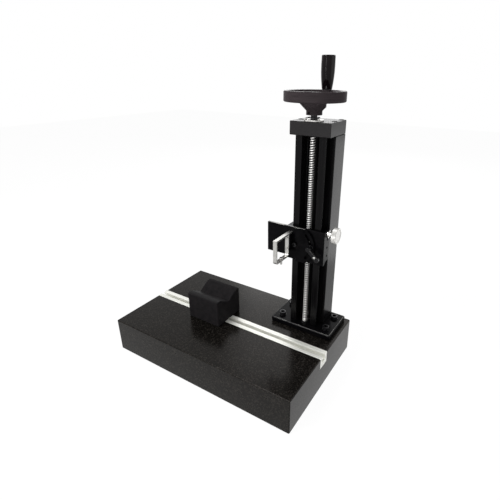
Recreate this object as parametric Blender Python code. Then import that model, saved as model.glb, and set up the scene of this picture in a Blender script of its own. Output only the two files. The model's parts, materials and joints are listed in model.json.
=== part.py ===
"""Roughness tester stand, in metres with +Z up.

A granite base plate holds a T-slot rail with a sliding V-block, and a foot plate with a dovetail column. A
lead screw turned by a dished handwheel lifts a carriage on the dovetail. The carriage carries a holder plate
that tilts about a pivot screw and is locked by a clamping lever, with a clamp frame for the tester on it.

The origin is the middle of the base's underside. X runs along the base, Y to the back.
"""

import math

import bmesh
import bpy
from mathutils import Matrix, Vector

# Fits
SEAT_GAP = 0.0003
OVERRUN = 0.002
MERGE_DISTANCE = 0.000001

# Facets round a full turn
WHEEL_FACETS = 42
KNOB_FACETS = 24
SHAFT_FACETS = 20
SCREW_FACETS = 12
ARC_FACETS = 5
RIM_ARC_FACETS = 2
SMOOTH_ANGLE = math.radians(35)

# Granite base
BASE_LENGTH = 0.400
BASE_WIDTH = 0.250
BASE_HEIGHT = 0.070
BASE_CHAMFER = 0.0015

# T-slot rail let into the base
RAIL_WIDTH = 0.026
RAIL_DEPTH = 0.022
RAIL_PLACE_Y = -0.0015
SLOT_MOUTH = 0.008
SLOT_LIP = 0.006
SLOT_CAVITY_WIDTH = 0.015
SLOT_CAVITY_HEIGHT = 0.007

# Foot plate and its screws
FOOT_BESIDE_BOX = 0.0267
FOOT_BEHIND_BOX = 0.0065
FOOT_THICKNESS = 0.011
FOOT_CHAMFER = 0.0015
FOOT_AHEAD_OF_DOVETAIL = 0.0145
FOOT_SCREW_BESIDE_BOX = 0.0112
FOOT_SCREW_FROM_EDGE = 0.0185
FOOT_SCREW_RADIUS = 0.004
FOOT_SCREW_LENGTH = 0.030
FOOT_SCREW_SINK = 0.002
FOOT_HEAD_RADIUS = 0.0065
FOOT_HEAD_HEIGHT = 0.008
INSERT_RADIUS = 0.0065
INSERT_LENGTH = 0.028

# Column, an extruded section with a dovetail in front and two chambers behind
COLUMN_FROM_END = 0.0715
SCREW_FROM_BACK = 0.0635
COLUMN_HEIGHT = 0.356
BOX_WIDTH = 0.0726
BOX_DEPTH = 0.040
BOX_WALL = 0.004
CHAMBER_WEB = 0.004
DOVETAIL_WIDTH = 0.055
DOVETAIL_AHEAD_OF_SCREW = 0.009
DOVETAIL_LAND = 0.003
DOVETAIL_FLANK_DEPTH = 0.011
DOVETAIL_ROOT_DEPTH = 0.003
DOVETAIL_ANGLE = math.radians(30)
GROOVE_WIDTH = 0.031
GROOVE_BEHIND_SCREW = 0.0115
EXTRUSION_EDGE = 0.0005
COLUMN_SCREW_RADIUS = 0.003
COLUMN_SCREW_INSET = 0.0062
COLUMN_SCREW_REACH = 0.020
COLUMN_HEAD_RADIUS = 0.005
COLUMN_HEAD_HEIGHT = 0.006
CORNER_WALL = 0.0015

# Top block with the screw's bearings
BLOCK_HEIGHT = 0.022
BLOCK_CHAMFER = 0.0008
BLOCK_SCREW_SINK = 0.0052
BEARING_RADIUS = 0.011
BEARING_HEIGHT = 0.014
BEARING_RING = 0.0025
BEARING_INNER_RING = 0.0019
CAGE_WALL_SHARE = 0.45
CAGE_INSET = 0.0015
BALL_ROW_SHARES = (0.25, 0.75)
BALLS_IN_A_ROW = 7
COVER_RADIUS = 0.016
COVER_THICKNESS = 0.0022
COVER_SCREWS = 3
COVER_SCREW_CIRCLE = 0.0133
COVER_SCREW_RADIUS = 0.0012
COVER_SCREW_LENGTH = 0.007
COVER_HEAD_RADIUS = 0.0024
COVER_HEAD_HEIGHT = 0.0014

# Lead screw, its lower bush and its lock collar
SCREW_RADIUS = 0.005
JOURNAL_RADIUS = 0.004
LOWER_JOURNAL = 0.012
BUSH_WALL = 0.002
BUSH_FLANGE = 0.0015
BUSH_FLANGE_HEIGHT = 0.0025
BUSH_DEPTH = 0.008
COLLAR_RADIUS = 0.0097
COLLAR_SLEEVE = 0.0009
COLLAR_FLANGE = 0.0022
COLLAR_NECK = 0.0042

# Handwheel
WHEEL_RADIUS = 0.049
RIM_THICKNESS = 0.0085
RIM_HEIGHT = 0.016
RIM_ROUNDING = 0.0025
HUB_RADIUS = 0.0128
HUB_HEIGHT = 0.021
HUB_STRAIGHT = 0.0062
DISH_RADIUS = 0.024
DISH_RISE = 0.0172
DISH_OUTER_RISE = 0.0265
RIM_ABOVE_HUB_FOOT = 0.0197
WEB_THICKNESS = 0.0055
SPOKES = 3
SPOKE_WIDTH = 0.014
WINDOW_INNER_RADIUS = 0.0185
WINDOW_OUTER_RADIUS = 0.0365
WINDOW_FACETS = 8
GRUB_RADIUS = 0.002
GRUB_LENGTH = 0.0075
GRUB_HEIGHT = 0.0032
GRUB_ANGLE = math.radians(-105)
WHEEL_SCREW_RADIUS = 0.0025
WHEEL_SCREW_LENGTH = 0.010
WHEEL_HEAD_RADIUS = 0.0075
WHEEL_HEAD_HEIGHT = 0.003

# Revolving handle on the wheel's rim
HANDLE_CIRCLE = 0.040
HANDLE_ANGLE = math.radians(88)
HANDLE_BOSS_RADIUS = 0.0088
HANDLE_LENGTH = 0.0495
HANDLE_TOP_RADIUS = 0.0102
HANDLE_FOOT_RADIUS = 0.0066
HANDLE_LENGTH_SHARES = (0.0, 0.12, 0.24, 0.36, 0.50, 0.75, 0.975, 1.0)
HANDLE_TAPER_SHARES = (0.0, 0.28, 0.55, 0.76, 0.92, 1.0, 0.95, 0.68)
HANDLE_STUD_RADIUS = 0.003
HANDLE_STUD_REACH = 0.042
HANDLE_STUD_ROOT = 0.012
HANDLE_STUD_FLANGE = 0.0055
HANDLE_STUD_FLANGE_HEIGHT = 0.0008

# Carriage on the dovetail
CARRIAGE_ABOVE_FOOT = 0.1347
CARRIAGE_JAW = 0.0095
CARRIAGE_HEIGHT = 0.064
CARRIAGE_FRONT_WALL = 0.0047
CARRIAGE_CHAMFER = 0.0006
JAW_BACK_GAP = 0.0007
JAW_LIFT = 0.0065
JAW_CURVE = 0.009
GIB_THICKNESS = 0.0035
GIB_SCREW_RADIUS = 0.002
GIB_SCREW_SINK = 0.0008
GIB_SCREWS = 3
GIB_SCREW_SPACING = 0.016
GIB_SCREW_ABOVE_FOOT = 0.016

# Lead nut inside the carriage
NUT_WIDTH = 0.024
NUT_BEHIND_SCREW = 0.009
NUT_HEIGHT = 0.030
NUT_SCREW_RADIUS = 0.002
NUT_SCREW_SPACING_X = 0.016
NUT_SCREW_SPACING_Z = 0.018
NUT_SCREW_LENGTH = 0.0075

# Lock knob on the carriage's right side
LOCK_BEHIND_FLANK = 0.0055
LOCK_BELOW_TOP = 0.006
LOCK_STUD_RADIUS = 0.004
LOCK_BUSH_RADIUS = 0.0066
LOCK_BUSH_LENGTH = 0.0069
LOCK_KNOB_RADIUS = 0.0142
LOCK_KNOB_THICKNESS = 0.012
LOCK_KNOB_EDGE = 0.0008

# Holder plate, its pivot and its arc slot
PIVOT_LEFT_OF_COLUMN = 0.0181
PLATE_THICKNESS = 0.004
PLATE_LEFT = 0.057
PLATE_UP = 0.033
PLATE_DOWN = 0.024
PLATE_END_RADIUS = 0.0385
PLATE_STEP_LEFT = 0.006
PLATE_CHAMFER = 0.0004
SLOT_RADIUS = 0.031
SLOT_HALF_WIDTH = 0.0025
SLOT_HALF_ANGLE = math.radians(45)
SLOT_FACETS = 14
PIVOT_SHOULDER_RADIUS = 0.003
PIVOT_THREAD_RADIUS = 0.0024
PIVOT_HEAD_RADIUS = 0.0042
PIVOT_HEAD_HEIGHT = 0.003

# Clamping lever for the tilt
CLAMP_STUD_RADIUS = 0.002
CLAMP_WASHER_RADIUS = 0.006
CLAMP_WASHER_THICKNESS = 0.0012
LEVER_HUB_RADIUS = 0.0055
LEVER_HUB_TOP_RADIUS = 0.0042
LEVER_HUB_HEIGHT = 0.009
LEVER_LENGTH = 0.023
LEVER_ANGLE = math.radians(-42)
LEVER_ROOT_WIDTH = 0.006
LEVER_END_RADIUS = 0.0045
LEVER_END_TURN = math.radians(120)
LEVER_THICKNESS = 0.0045

# Clamp frame for the tester
FRAME_STRIP_WIDTH = 0.007
FRAME_STRIP_THICKNESS = 0.003
FRAME_DEPTH = 0.044
FRAME_HEIGHT = 0.0445
FRAME_ABOVE_PIVOT = 0.024
FRAME_CORNER = 0.0055
FRAME_STANDOFF = 0.0096
FRAME_BLOCK_DROP = 0.0105
FRAME_BLOCK_WIDTH = 0.0084
FRAME_SCREW_RADIUS = 0.0015
FRAME_SCREW_SPACING = 0.020
FRAME_HEAD_RADIUS = 0.00265
FRAME_HEAD_HEIGHT = 0.0018
PAD_RADIUS = 0.003
PAD_THICKNESS = 0.002
PAD_POCKET_SHARE = 0.5
CLAMP_SCREW_RADIUS = 0.0019
CLAMP_SCREW_BELOW_FRAME = 0.008

# V-block and its key
VBLOCK_PLACE_X = -0.0482
VBLOCK_LENGTH = 0.075
VBLOCK_WIDTH = 0.070
VBLOCK_HEIGHT = 0.0547
VBLOCK_CHAMFER = 0.001
VEE_OPENING = 0.048
VEE_HALF_ANGLE = math.radians(60)
KEY_LENGTH = 0.069
KEY_IN_BLOCK = 0.002
KEY_IN_SLOT = 0.0047
KEY_SCREW_RADIUS = 0.0015
KEY_SCREW_REACH = 0.009
KEY_HEAD_RADIUS = 0.0027
KEY_HEAD_HEIGHT = 0.0025

# Places along Z worked out from the sizes above
BASE_TOP = BASE_HEIGHT
FOOT_UNDERSIDE = BASE_TOP + SEAT_GAP
FOOT_TOP = FOOT_UNDERSIDE + FOOT_THICKNESS
COLUMN_FOOT = FOOT_TOP + SEAT_GAP
COLUMN_TOP = COLUMN_FOOT + COLUMN_HEIGHT
BLOCK_UNDERSIDE = COLUMN_TOP + SEAT_GAP
BLOCK_TOP = BLOCK_UNDERSIDE + BLOCK_HEIGHT
BEARING_TOP = BLOCK_TOP - SEAT_GAP
BEARING_SEAT = BEARING_TOP - BEARING_HEIGHT
COVER_UNDERSIDE = BLOCK_TOP + SEAT_GAP
COVER_TOP = COVER_UNDERSIDE + COVER_THICKNESS
COLLAR_UNDERSIDE = COVER_TOP + SEAT_GAP
HUB_FOOT = COLLAR_UNDERSIDE + COLLAR_FLANGE + COLLAR_NECK + SEAT_GAP
HUB_TOP = HUB_FOOT + HUB_HEIGHT
RIM_TOP = HUB_FOOT + RIM_ABOVE_HUB_FOOT + RIM_HEIGHT
CARRIAGE_FOOT = FOOT_TOP + CARRIAGE_ABOVE_FOOT
CARRIAGE_TOP = CARRIAGE_FOOT + CARRIAGE_HEIGHT
JAW_FOOT = CARRIAGE_FOOT + JAW_LIFT
PIVOT_Z = CARRIAGE_FOOT + CARRIAGE_HEIGHT / 2
LOCK_Z = CARRIAGE_TOP - LOCK_BELOW_TOP
FRAME_TOP = PIVOT_Z + FRAME_ABOVE_PIVOT
FRAME_FOOT = FRAME_TOP - FRAME_HEIGHT
VBLOCK_FOOT = BASE_TOP + SEAT_GAP

# Places along Y
SCREW_PLACE_Y = BASE_WIDTH / 2 - SCREW_FROM_BACK
DOVETAIL_FRONT = SCREW_PLACE_Y - DOVETAIL_AHEAD_OF_SCREW
FLANK_FRONT = DOVETAIL_FRONT + DOVETAIL_LAND
FLANK_BACK = FLANK_FRONT + DOVETAIL_FLANK_DEPTH
BOX_FRONT = FLANK_BACK + DOVETAIL_ROOT_DEPTH
BOX_BACK = BOX_FRONT + BOX_DEPTH
GROOVE_FLOOR = SCREW_PLACE_Y + GROOVE_BEHIND_SCREW
FOOT_FRONT = DOVETAIL_FRONT - FOOT_AHEAD_OF_DOVETAIL
FOOT_BACK = BOX_BACK + FOOT_BEHIND_BOX
FOOT_MIDDLE_Y = (FOOT_FRONT + FOOT_BACK) / 2
FOOT_SCREW_SPACING_Y = FOOT_BACK - FOOT_FRONT - 2 * FOOT_SCREW_FROM_EDGE
CARRIAGE_INSIDE = DOVETAIL_FRONT - SEAT_GAP
CARRIAGE_FRONT = CARRIAGE_INSIDE - CARRIAGE_FRONT_WALL
CARRIAGE_BACK = BOX_FRONT - JAW_BACK_GAP
BLOCK_FRONT = CARRIAGE_FRONT
LOCK_Y = FLANK_FRONT + LOCK_BEHIND_FLANK
PLATE_BACK = CARRIAGE_FRONT - SEAT_GAP
PLATE_FRONT = PLATE_BACK - PLATE_THICKNESS
STANDOFF_BACK = PLATE_FRONT - SEAT_GAP
STANDOFF_FRONT = STANDOFF_BACK - FRAME_STANDOFF
FRAME_BACK = STANDOFF_FRONT - SEAT_GAP
FRAME_FRONT = FRAME_BACK - FRAME_DEPTH
WASHER_FRONT = PLATE_FRONT - SEAT_GAP - CLAMP_WASHER_THICKNESS
LEVER_BACK = WASHER_FRONT - SEAT_GAP
LEVER_FRONT = LEVER_BACK - LEVER_HUB_HEIGHT

# Places along X, and radii that fit one piece into another
COLUMN_PLACE_X = BASE_LENGTH / 2 - COLUMN_FROM_END
FOOT_LENGTH = BOX_WIDTH + 2 * FOOT_BESIDE_BOX
FOOT_SCREW_SPACING_X = BOX_WIDTH + 2 * FOOT_SCREW_BESIDE_BOX
CARRIAGE_WIDTH = DOVETAIL_WIDTH + 2 * CARRIAGE_JAW
FLANK_INSET = DOVETAIL_FLANK_DEPTH * math.tan(DOVETAIL_ANGLE)
FLANK_GAP = SEAT_GAP / math.cos(DOVETAIL_ANGLE)
GIB_WIDTH_X = GIB_THICKNESS / math.cos(DOVETAIL_ANGLE)
CARRIAGE_SIDE = COLUMN_PLACE_X + CARRIAGE_WIDTH / 2
PIVOT_X = COLUMN_PLACE_X - PIVOT_LEFT_OF_COLUMN
CLAMP_STUD_X = PIVOT_X + SLOT_RADIUS
FRAME_MIDDLE_X = PIVOT_X - PIVOT_HEAD_RADIUS - SEAT_GAP - FRAME_BLOCK_WIDTH / 2
FRAME_LEFT = FRAME_MIDDLE_X - FRAME_STRIP_WIDTH / 2
KNOB_BACK_X = CARRIAGE_SIDE + SEAT_GAP + LOCK_BUSH_LENGTH + SEAT_GAP
JOURNAL_BORE = JOURNAL_RADIUS + SEAT_GAP
BUSH_RADIUS = JOURNAL_BORE + BUSH_WALL
INNER_RING_RADIUS = JOURNAL_BORE + BEARING_INNER_RING
OUTER_RING_BORE = BEARING_RADIUS - BEARING_RING
COLLAR_SLEEVE_RADIUS = JOURNAL_BORE + COLLAR_SLEEVE
COVER_BORE = COLLAR_SLEEVE_RADIUS + SEAT_GAP
COLUMN_SCREW_SLACK = COLUMN_SCREW_RADIUS + SEAT_GAP

# Axis directions
ALONG_X = Vector((1.0, 0.0, 0.0))
ALONG_Y = Vector((0.0, 1.0, 0.0))
ALONG_Z = Vector((0.0, 0.0, 1.0))


def clear_scene():
    for old in list(bpy.data.objects):
        bpy.data.objects.remove(old, do_unlink=True)


def material(name, colour, roughness, metallic):
    look = bpy.data.materials.new(name)
    look.use_nodes = True
    shader = look.node_tree.nodes["Principled BSDF"]
    shader.inputs["Base Color"].default_value = (*colour, 1.0)
    shader.inputs["Roughness"].default_value = roughness
    shader.inputs["Metallic"].default_value = metallic
    look.diffuse_color = (*colour, 1.0)
    return look


def joint_home(name, place):
    """An empty on a joint's axis, which carries the pieces that move on that joint."""
    home = bpy.data.objects.new(name, None)
    home.location = place
    bpy.context.scene.collection.objects.link(home)
    return home


def finish(name, bm, look, home=None, smooth=False):
    """Make an object from a bmesh drawn at its place in the stand, with its origin on its joint's axis."""
    origin = home.location.copy() if home else Vector()
    bmesh.ops.translate(bm, verts=bm.verts, vec=-origin)
    bmesh.ops.recalc_face_normals(bm, faces=bm.faces)
    mesh = bpy.data.meshes.new(name)
    bm.to_mesh(mesh)
    bm.free()
    mesh.materials.append(look)
    if smooth:
        mesh.shade_smooth()
        mesh.set_sharp_from_angle(angle=SMOOTH_ANGLE)
    piece = bpy.data.objects.new(name, mesh)
    piece.parent = home
    bpy.context.scene.collection.objects.link(piece)
    return piece


def cut(piece, name, bm, operation="DIFFERENCE"):
    """Cut the bmesh out of a piece, or join it on, with a hidden helper object."""
    bmesh.ops.recalc_face_normals(bm, faces=bm.faces)
    mesh = bpy.data.meshes.new(name)
    bm.to_mesh(mesh)
    bm.free()
    helper = bpy.data.objects.new(name, mesh)
    helper.hide_render = True
    helper.display_type = "WIRE"
    bpy.context.scene.collection.objects.link(helper)
    boolean = piece.modifiers.new(name, "BOOLEAN")
    boolean.operation = operation
    boolean.object = helper


def round_edges(piece, width, segments=1):
    bevel = piece.modifiers.new("edges", "BEVEL")
    bevel.width = width
    bevel.segments = segments
    bevel.limit_method = "ANGLE"


def absorb(bm, piece):
    """Add a finished bmesh to another one as a solid of its own."""
    mesh = bpy.data.meshes.new("absorbed")
    bmesh.ops.recalc_face_normals(piece, faces=piece.faces)
    piece.to_mesh(mesh)
    piece.free()
    bm.from_mesh(mesh)
    bpy.data.meshes.remove(mesh)


def add_box(bm, low, high):
    low, high = Vector(low), Vector(high)
    place = Matrix.Translation((low + high) / 2) @ Matrix.Diagonal((*(high - low), 1.0))
    bmesh.ops.create_cube(bm, size=1.0, matrix=place)


def add_prism(bm, outline, start, along):
    """Extrude a closed outline of points by the vector along, from the offset start."""
    piece = bmesh.new()
    corners = [piece.verts.new(Vector(point) + Vector(start)) for point in outline]
    face = piece.faces.new(corners)
    grown = bmesh.ops.extrude_face_region(piece, geom=[face])
    moved = [item for item in grown["geom"] if isinstance(item, bmesh.types.BMVert)]
    bmesh.ops.translate(piece, verts=moved, vec=along)
    absorb(bm, piece)


def add_turned(bm, profile, place, axis, facets):
    """Spin a profile of (radius, height) points about an axis through place.

    A profile that starts and ends on the axis makes a solid, and any other is closed into a ring.
    """
    piece = bmesh.new()
    verts = [piece.verts.new((radius, 0.0, height)) for radius, height in profile]
    edges = [piece.edges.new(pair) for pair in zip(verts, verts[1:])]
    if profile[0][0] or profile[-1][0]:
        edges.append(piece.edges.new((verts[-1], verts[0])))
    bmesh.ops.spin(
        piece, geom=verts + edges, cent=(0, 0, 0), axis=ALONG_Z, angle=math.tau, steps=facets, use_merge=True
    )
    bmesh.ops.remove_doubles(piece, verts=piece.verts, dist=MERGE_DISTANCE)
    turn = ALONG_Z.rotation_difference(Vector(axis)).to_matrix().to_4x4()
    bmesh.ops.transform(piece, matrix=Matrix.Translation(place) @ turn, verts=piece.verts)
    absorb(bm, piece)


def add_rod(bm, place, axis, radius, length, facets=SCREW_FACETS):
    """A cylinder that starts at place and runs along axis."""
    add_turned(bm, [(0.0, 0.0), (radius, 0.0), (radius, length), (0.0, length)], place, axis, facets)


def add_ring(bm, place, axis, inner, outer, height, facets=SHAFT_FACETS):
    add_turned(bm, [(inner, 0.0), (outer, 0.0), (outer, height), (inner, height)], place, axis, facets)


def cap_screw(place, axis, head_radius, head_height, radius, length):
    """A cap screw whose head stands on place, with its shank running against axis."""
    bm = bmesh.new()
    profile = [
        (0.0, -length),
        (radius, -length),
        (radius, 0.0),
        (head_radius, 0.0),
        (head_radius, head_height),
        (0.0, head_height),
    ]
    add_turned(bm, profile, place, axis, SCREW_FACETS)
    return bm


def arc(centre, radius, start, stop, steps):
    """Points (across, up) along an arc, from one angle to another."""
    turns = [start + (stop - start) * step / steps for step in range(steps + 1)]
    return [(centre[0] + radius * math.cos(turn), centre[1] + radius * math.sin(turn)) for turn in turns]


def in_front_view(points, y=0.0):
    return [(x, y, z) for x, z in points]


def in_side_view(points, x=0.0):
    return [(x, y, z) for y, z in points]


def in_plan(points, z=0.0):
    return [(x, y, z) for x, y in points]


def four(centre_x, centre_y, spacing_x, spacing_y):
    """The corners of a rectangle of screws."""
    return [
        (centre_x + across * spacing_x / 2, centre_y + along * spacing_y / 2)
        for across in (-1, 1)
        for along in (-1, 1)
    ]


def foot_screw_places():
    return four(COLUMN_PLACE_X, FOOT_MIDDLE_Y, FOOT_SCREW_SPACING_X, FOOT_SCREW_SPACING_Y)


def column_screw_places():
    spacing_x = BOX_WIDTH - 2 * COLUMN_SCREW_INSET
    spacing_y = BOX_DEPTH - 2 * COLUMN_SCREW_INSET
    return four(COLUMN_PLACE_X, (BOX_FRONT + BOX_BACK) / 2, spacing_x, spacing_y)


def screw_axis_at(z):
    return Vector((COLUMN_PLACE_X, SCREW_PLACE_Y, z))


def make_granite_base(granite):
    bm = bmesh.new()
    add_box(bm, (-BASE_LENGTH / 2, -BASE_WIDTH / 2, 0.0), (BASE_LENGTH / 2, BASE_WIDTH / 2, BASE_HEIGHT))
    base = finish("granite_base", bm, granite)
    round_edges(base, BASE_CHAMFER)
    channel = bmesh.new()
    half = RAIL_WIDTH / 2 + SEAT_GAP
    add_box(
        channel,
        (-BASE_LENGTH / 2 - OVERRUN, RAIL_PLACE_Y - half, BASE_TOP - RAIL_DEPTH - SEAT_GAP),
        (BASE_LENGTH / 2 + OVERRUN, RAIL_PLACE_Y + half, BASE_TOP + OVERRUN),
    )
    cut(base, "rail_channel", channel)
    bores = bmesh.new()
    for x, y in foot_screw_places():
        foot = (x, y, BASE_TOP - INSERT_LENGTH - SEAT_GAP)
        depth = INSERT_LENGTH + SEAT_GAP + OVERRUN
        add_rod(bores, foot, ALONG_Z, INSERT_RADIUS + SEAT_GAP, depth, SHAFT_FACETS)
    cut(base, "insert_bores", bores)


def make_granite_inserts(steel):
    for index, (x, y) in enumerate(foot_screw_places(), 1):
        bm = bmesh.new()
        foot = (x, y, BASE_TOP - INSERT_LENGTH)
        add_ring(bm, foot, ALONG_Z, FOOT_SCREW_RADIUS + SEAT_GAP, INSERT_RADIUS, INSERT_LENGTH)
        finish(f"granite_insert_{index}", bm, steel, smooth=True)


def make_rail(aluminium):
    """The T-slot section, drawn from the mouth's right lip round to its left one."""
    mouth, cavity, side = SLOT_MOUTH / 2, SLOT_CAVITY_WIDTH / 2, RAIL_WIDTH / 2
    lip_foot = BASE_TOP - SLOT_LIP
    half = [
        (cavity, lip_foot - SLOT_CAVITY_HEIGHT),
        (cavity, lip_foot),
        (mouth, lip_foot),
        (mouth, BASE_TOP),
        (side, BASE_TOP),
        (side, BASE_TOP - RAIL_DEPTH),
    ]
    section = [(RAIL_PLACE_Y + y, z) for y, z in half]
    section += [(RAIL_PLACE_Y - y, z) for y, z in reversed(half)]
    bm = bmesh.new()
    add_prism(bm, in_side_view(section, -BASE_LENGTH / 2), Vector(), ALONG_X * BASE_LENGTH)
    finish("t_slot_rail", bm, aluminium)


def make_foot_plate(black):
    low = (COLUMN_PLACE_X - FOOT_LENGTH / 2, FOOT_FRONT, FOOT_UNDERSIDE)
    high = (COLUMN_PLACE_X + FOOT_LENGTH / 2, FOOT_BACK, FOOT_TOP)
    bm = bmesh.new()
    add_box(bm, low, high)
    plate = finish("foot_plate", bm, black)
    round_edges(plate, FOOT_CHAMFER)
    bores = bmesh.new()
    for x, y in foot_screw_places():
        slack, seat = FOOT_SCREW_RADIUS + SEAT_GAP, FOOT_TOP - FOOT_SCREW_SINK - SEAT_GAP
        profile = [
            (0.0, FOOT_UNDERSIDE - OVERRUN),
            (slack, FOOT_UNDERSIDE - OVERRUN),
            (slack, seat),
            (FOOT_HEAD_RADIUS + SEAT_GAP, seat),
            (FOOT_HEAD_RADIUS + SEAT_GAP, FOOT_TOP + OVERRUN),
            (0.0, FOOT_TOP + OVERRUN),
        ]
        add_turned(bores, profile, (x, y, 0.0), ALONG_Z, SCREW_FACETS)
    cut(plate, "foot_screw_bores", bores)
    bores = bmesh.new()
    through = FOOT_THICKNESS + 2 * OVERRUN
    for x, y in column_screw_places():
        head_room = COLUMN_HEAD_HEIGHT + SEAT_GAP
        profile = [
            (0.0, -OVERRUN),
            (COLUMN_HEAD_RADIUS + SEAT_GAP, -OVERRUN),
            (COLUMN_HEAD_RADIUS + SEAT_GAP, head_room),
            (COLUMN_SCREW_SLACK, head_room),
            (COLUMN_SCREW_SLACK, through),
            (0.0, through),
        ]
        add_turned(bores, profile, (x, y, FOOT_UNDERSIDE), ALONG_Z, SCREW_FACETS)
    cut(plate, "column_screw_bores", bores)
    seat = bmesh.new()
    floor = screw_axis_at(FOOT_TOP - BUSH_DEPTH - SEAT_GAP)
    add_rod(seat, floor, ALONG_Z, BUSH_RADIUS + SEAT_GAP, BUSH_DEPTH + SEAT_GAP + OVERRUN, SHAFT_FACETS)
    cut(plate, "bush_seat", seat)


def make_foot_screws(black_steel):
    head = (FOOT_HEAD_RADIUS, FOOT_HEAD_HEIGHT)
    for index, (x, y) in enumerate(foot_screw_places(), 1):
        seat = (x, y, FOOT_TOP - FOOT_SCREW_SINK)
        screw = cap_screw(seat, ALONG_Z, *head, FOOT_SCREW_RADIUS, FOOT_SCREW_LENGTH)
        finish(f"foot_plate_screw_{index}", screw, black_steel, smooth=True)


def column_outline():
    """Half of the section, from the groove's floor round the dovetail to the back, and the same mirrored."""
    half = [
        (GROOVE_WIDTH / 2, GROOVE_FLOOR),
        (GROOVE_WIDTH / 2, DOVETAIL_FRONT),
        (DOVETAIL_WIDTH / 2, DOVETAIL_FRONT),
        (DOVETAIL_WIDTH / 2, FLANK_FRONT),
        (DOVETAIL_WIDTH / 2 - FLANK_INSET, FLANK_BACK),
        (DOVETAIL_WIDTH / 2 - FLANK_INSET, BOX_FRONT),
        (BOX_WIDTH / 2, BOX_FRONT),
        (BOX_WIDTH / 2, BOX_BACK),
    ]
    right = [(COLUMN_PLACE_X + x, y) for x, y in half]
    left = [(COLUMN_PLACE_X - x, y) for x, y in reversed(half)]
    return right + left


def chamber_outline(side):
    """One hollow of the extrusion, with a corner left solid round each screw."""
    inner, outer = CHAMBER_WEB / 2, BOX_WIDTH / 2 - BOX_WALL
    front = max(GROOVE_FLOOR + BOX_WALL, BOX_FRONT + 2 * COLUMN_SCREW_INSET)
    back = BOX_BACK - BOX_WALL
    corner = 2 * (COLUMN_SCREW_INSET - BOX_WALL) + math.sqrt(2) * (COLUMN_SCREW_SLACK + CORNER_WALL)
    points = [(inner, front), (outer, front), (outer, back - corner), (outer - corner, back), (inner, back)]
    return [(COLUMN_PLACE_X + side * x, y) for x, y in points]


def make_column(anodised):
    bm = bmesh.new()
    add_prism(bm, in_plan(column_outline(), COLUMN_FOOT), Vector(), ALONG_Z * COLUMN_HEIGHT)
    column = finish("column", bm, anodised)
    round_edges(column, EXTRUSION_EDGE)
    chambers = bmesh.new()
    for side in (-1, 1):
        outline = in_plan(chamber_outline(side), COLUMN_FOOT - OVERRUN)
        add_prism(chambers, outline, Vector(), ALONG_Z * (COLUMN_HEIGHT + 2 * OVERRUN))
    cut(column, "chambers", chambers)
    bores = bmesh.new()
    depth = COLUMN_SCREW_REACH + 2 * SEAT_GAP
    for x, y in column_screw_places():
        for start in (COLUMN_FOOT - OVERRUN, COLUMN_TOP - depth):
            add_rod(bores, (x, y, start), ALONG_Z, COLUMN_SCREW_SLACK, depth + OVERRUN)
    cut(column, "column_bores", bores)


def make_column_screws(steel):
    seat = FOOT_UNDERSIDE + COLUMN_HEAD_HEIGHT
    height = COLUMN_HEAD_HEIGHT - SEAT_GAP
    length = FOOT_TOP - seat + COLUMN_SCREW_REACH
    for index, (x, y) in enumerate(column_screw_places(), 1):
        screw = cap_screw((x, y, seat), -ALONG_Z, COLUMN_HEAD_RADIUS, height, COLUMN_SCREW_RADIUS, length)
        finish(f"column_screw_{index}", screw, steel, smooth=True)


def make_top_block(anodised):
    bm = bmesh.new()
    half = BOX_WIDTH / 2
    low = (COLUMN_PLACE_X - half, BLOCK_FRONT, BLOCK_UNDERSIDE)
    add_box(bm, low, (COLUMN_PLACE_X + half, BOX_BACK, BLOCK_TOP))
    block = finish("top_block", bm, anodised)
    round_edges(block, BLOCK_CHAMFER)
    pocket = bmesh.new()
    profile = [
        (0.0, BLOCK_UNDERSIDE - OVERRUN),
        (SCREW_RADIUS + 2 * SEAT_GAP, BLOCK_UNDERSIDE - OVERRUN),
        (SCREW_RADIUS + 2 * SEAT_GAP, BEARING_SEAT - SEAT_GAP),
        (BEARING_RADIUS + SEAT_GAP, BEARING_SEAT - SEAT_GAP),
        (BEARING_RADIUS + SEAT_GAP, BLOCK_TOP + OVERRUN),
        (0.0, BLOCK_TOP + OVERRUN),
    ]
    add_turned(pocket, profile, screw_axis_at(0.0), ALONG_Z, SHAFT_FACETS)
    cut(block, "bearing_pocket", pocket)
    bores = bmesh.new()
    for x, y in column_screw_places():
        seat = BLOCK_TOP - BLOCK_SCREW_SINK - SEAT_GAP
        profile = [
            (0.0, BLOCK_UNDERSIDE - OVERRUN),
            (COLUMN_SCREW_SLACK, BLOCK_UNDERSIDE - OVERRUN),
            (COLUMN_SCREW_SLACK, seat),
            (COLUMN_HEAD_RADIUS + SEAT_GAP, seat),
            (COLUMN_HEAD_RADIUS + SEAT_GAP, BLOCK_TOP + OVERRUN),
            (0.0, BLOCK_TOP + OVERRUN),
        ]
        add_turned(bores, profile, (x, y, 0.0), ALONG_Z, SCREW_FACETS)
    cut(block, "block_bores", bores)
    taps = bmesh.new()
    for x, y in cover_screw_places():
        start = (x, y, BLOCK_TOP - COVER_SCREW_LENGTH - SEAT_GAP)
        add_rod(taps, start, ALONG_Z, COVER_SCREW_RADIUS + SEAT_GAP, COVER_SCREW_LENGTH + SEAT_GAP + OVERRUN)
    cut(block, "cover_screw_holes", taps)


def make_top_block_screws(black_steel):
    seat = BLOCK_TOP - BLOCK_SCREW_SINK
    length = seat - COLUMN_TOP + COLUMN_SCREW_REACH
    head = (COLUMN_HEAD_RADIUS, COLUMN_HEAD_HEIGHT)
    for index, (x, y) in enumerate(column_screw_places(), 1):
        screw = cap_screw((x, y, seat), ALONG_Z, *head, COLUMN_SCREW_RADIUS, length)
        finish(f"top_block_screw_{index}", screw, black_steel, smooth=True)


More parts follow.
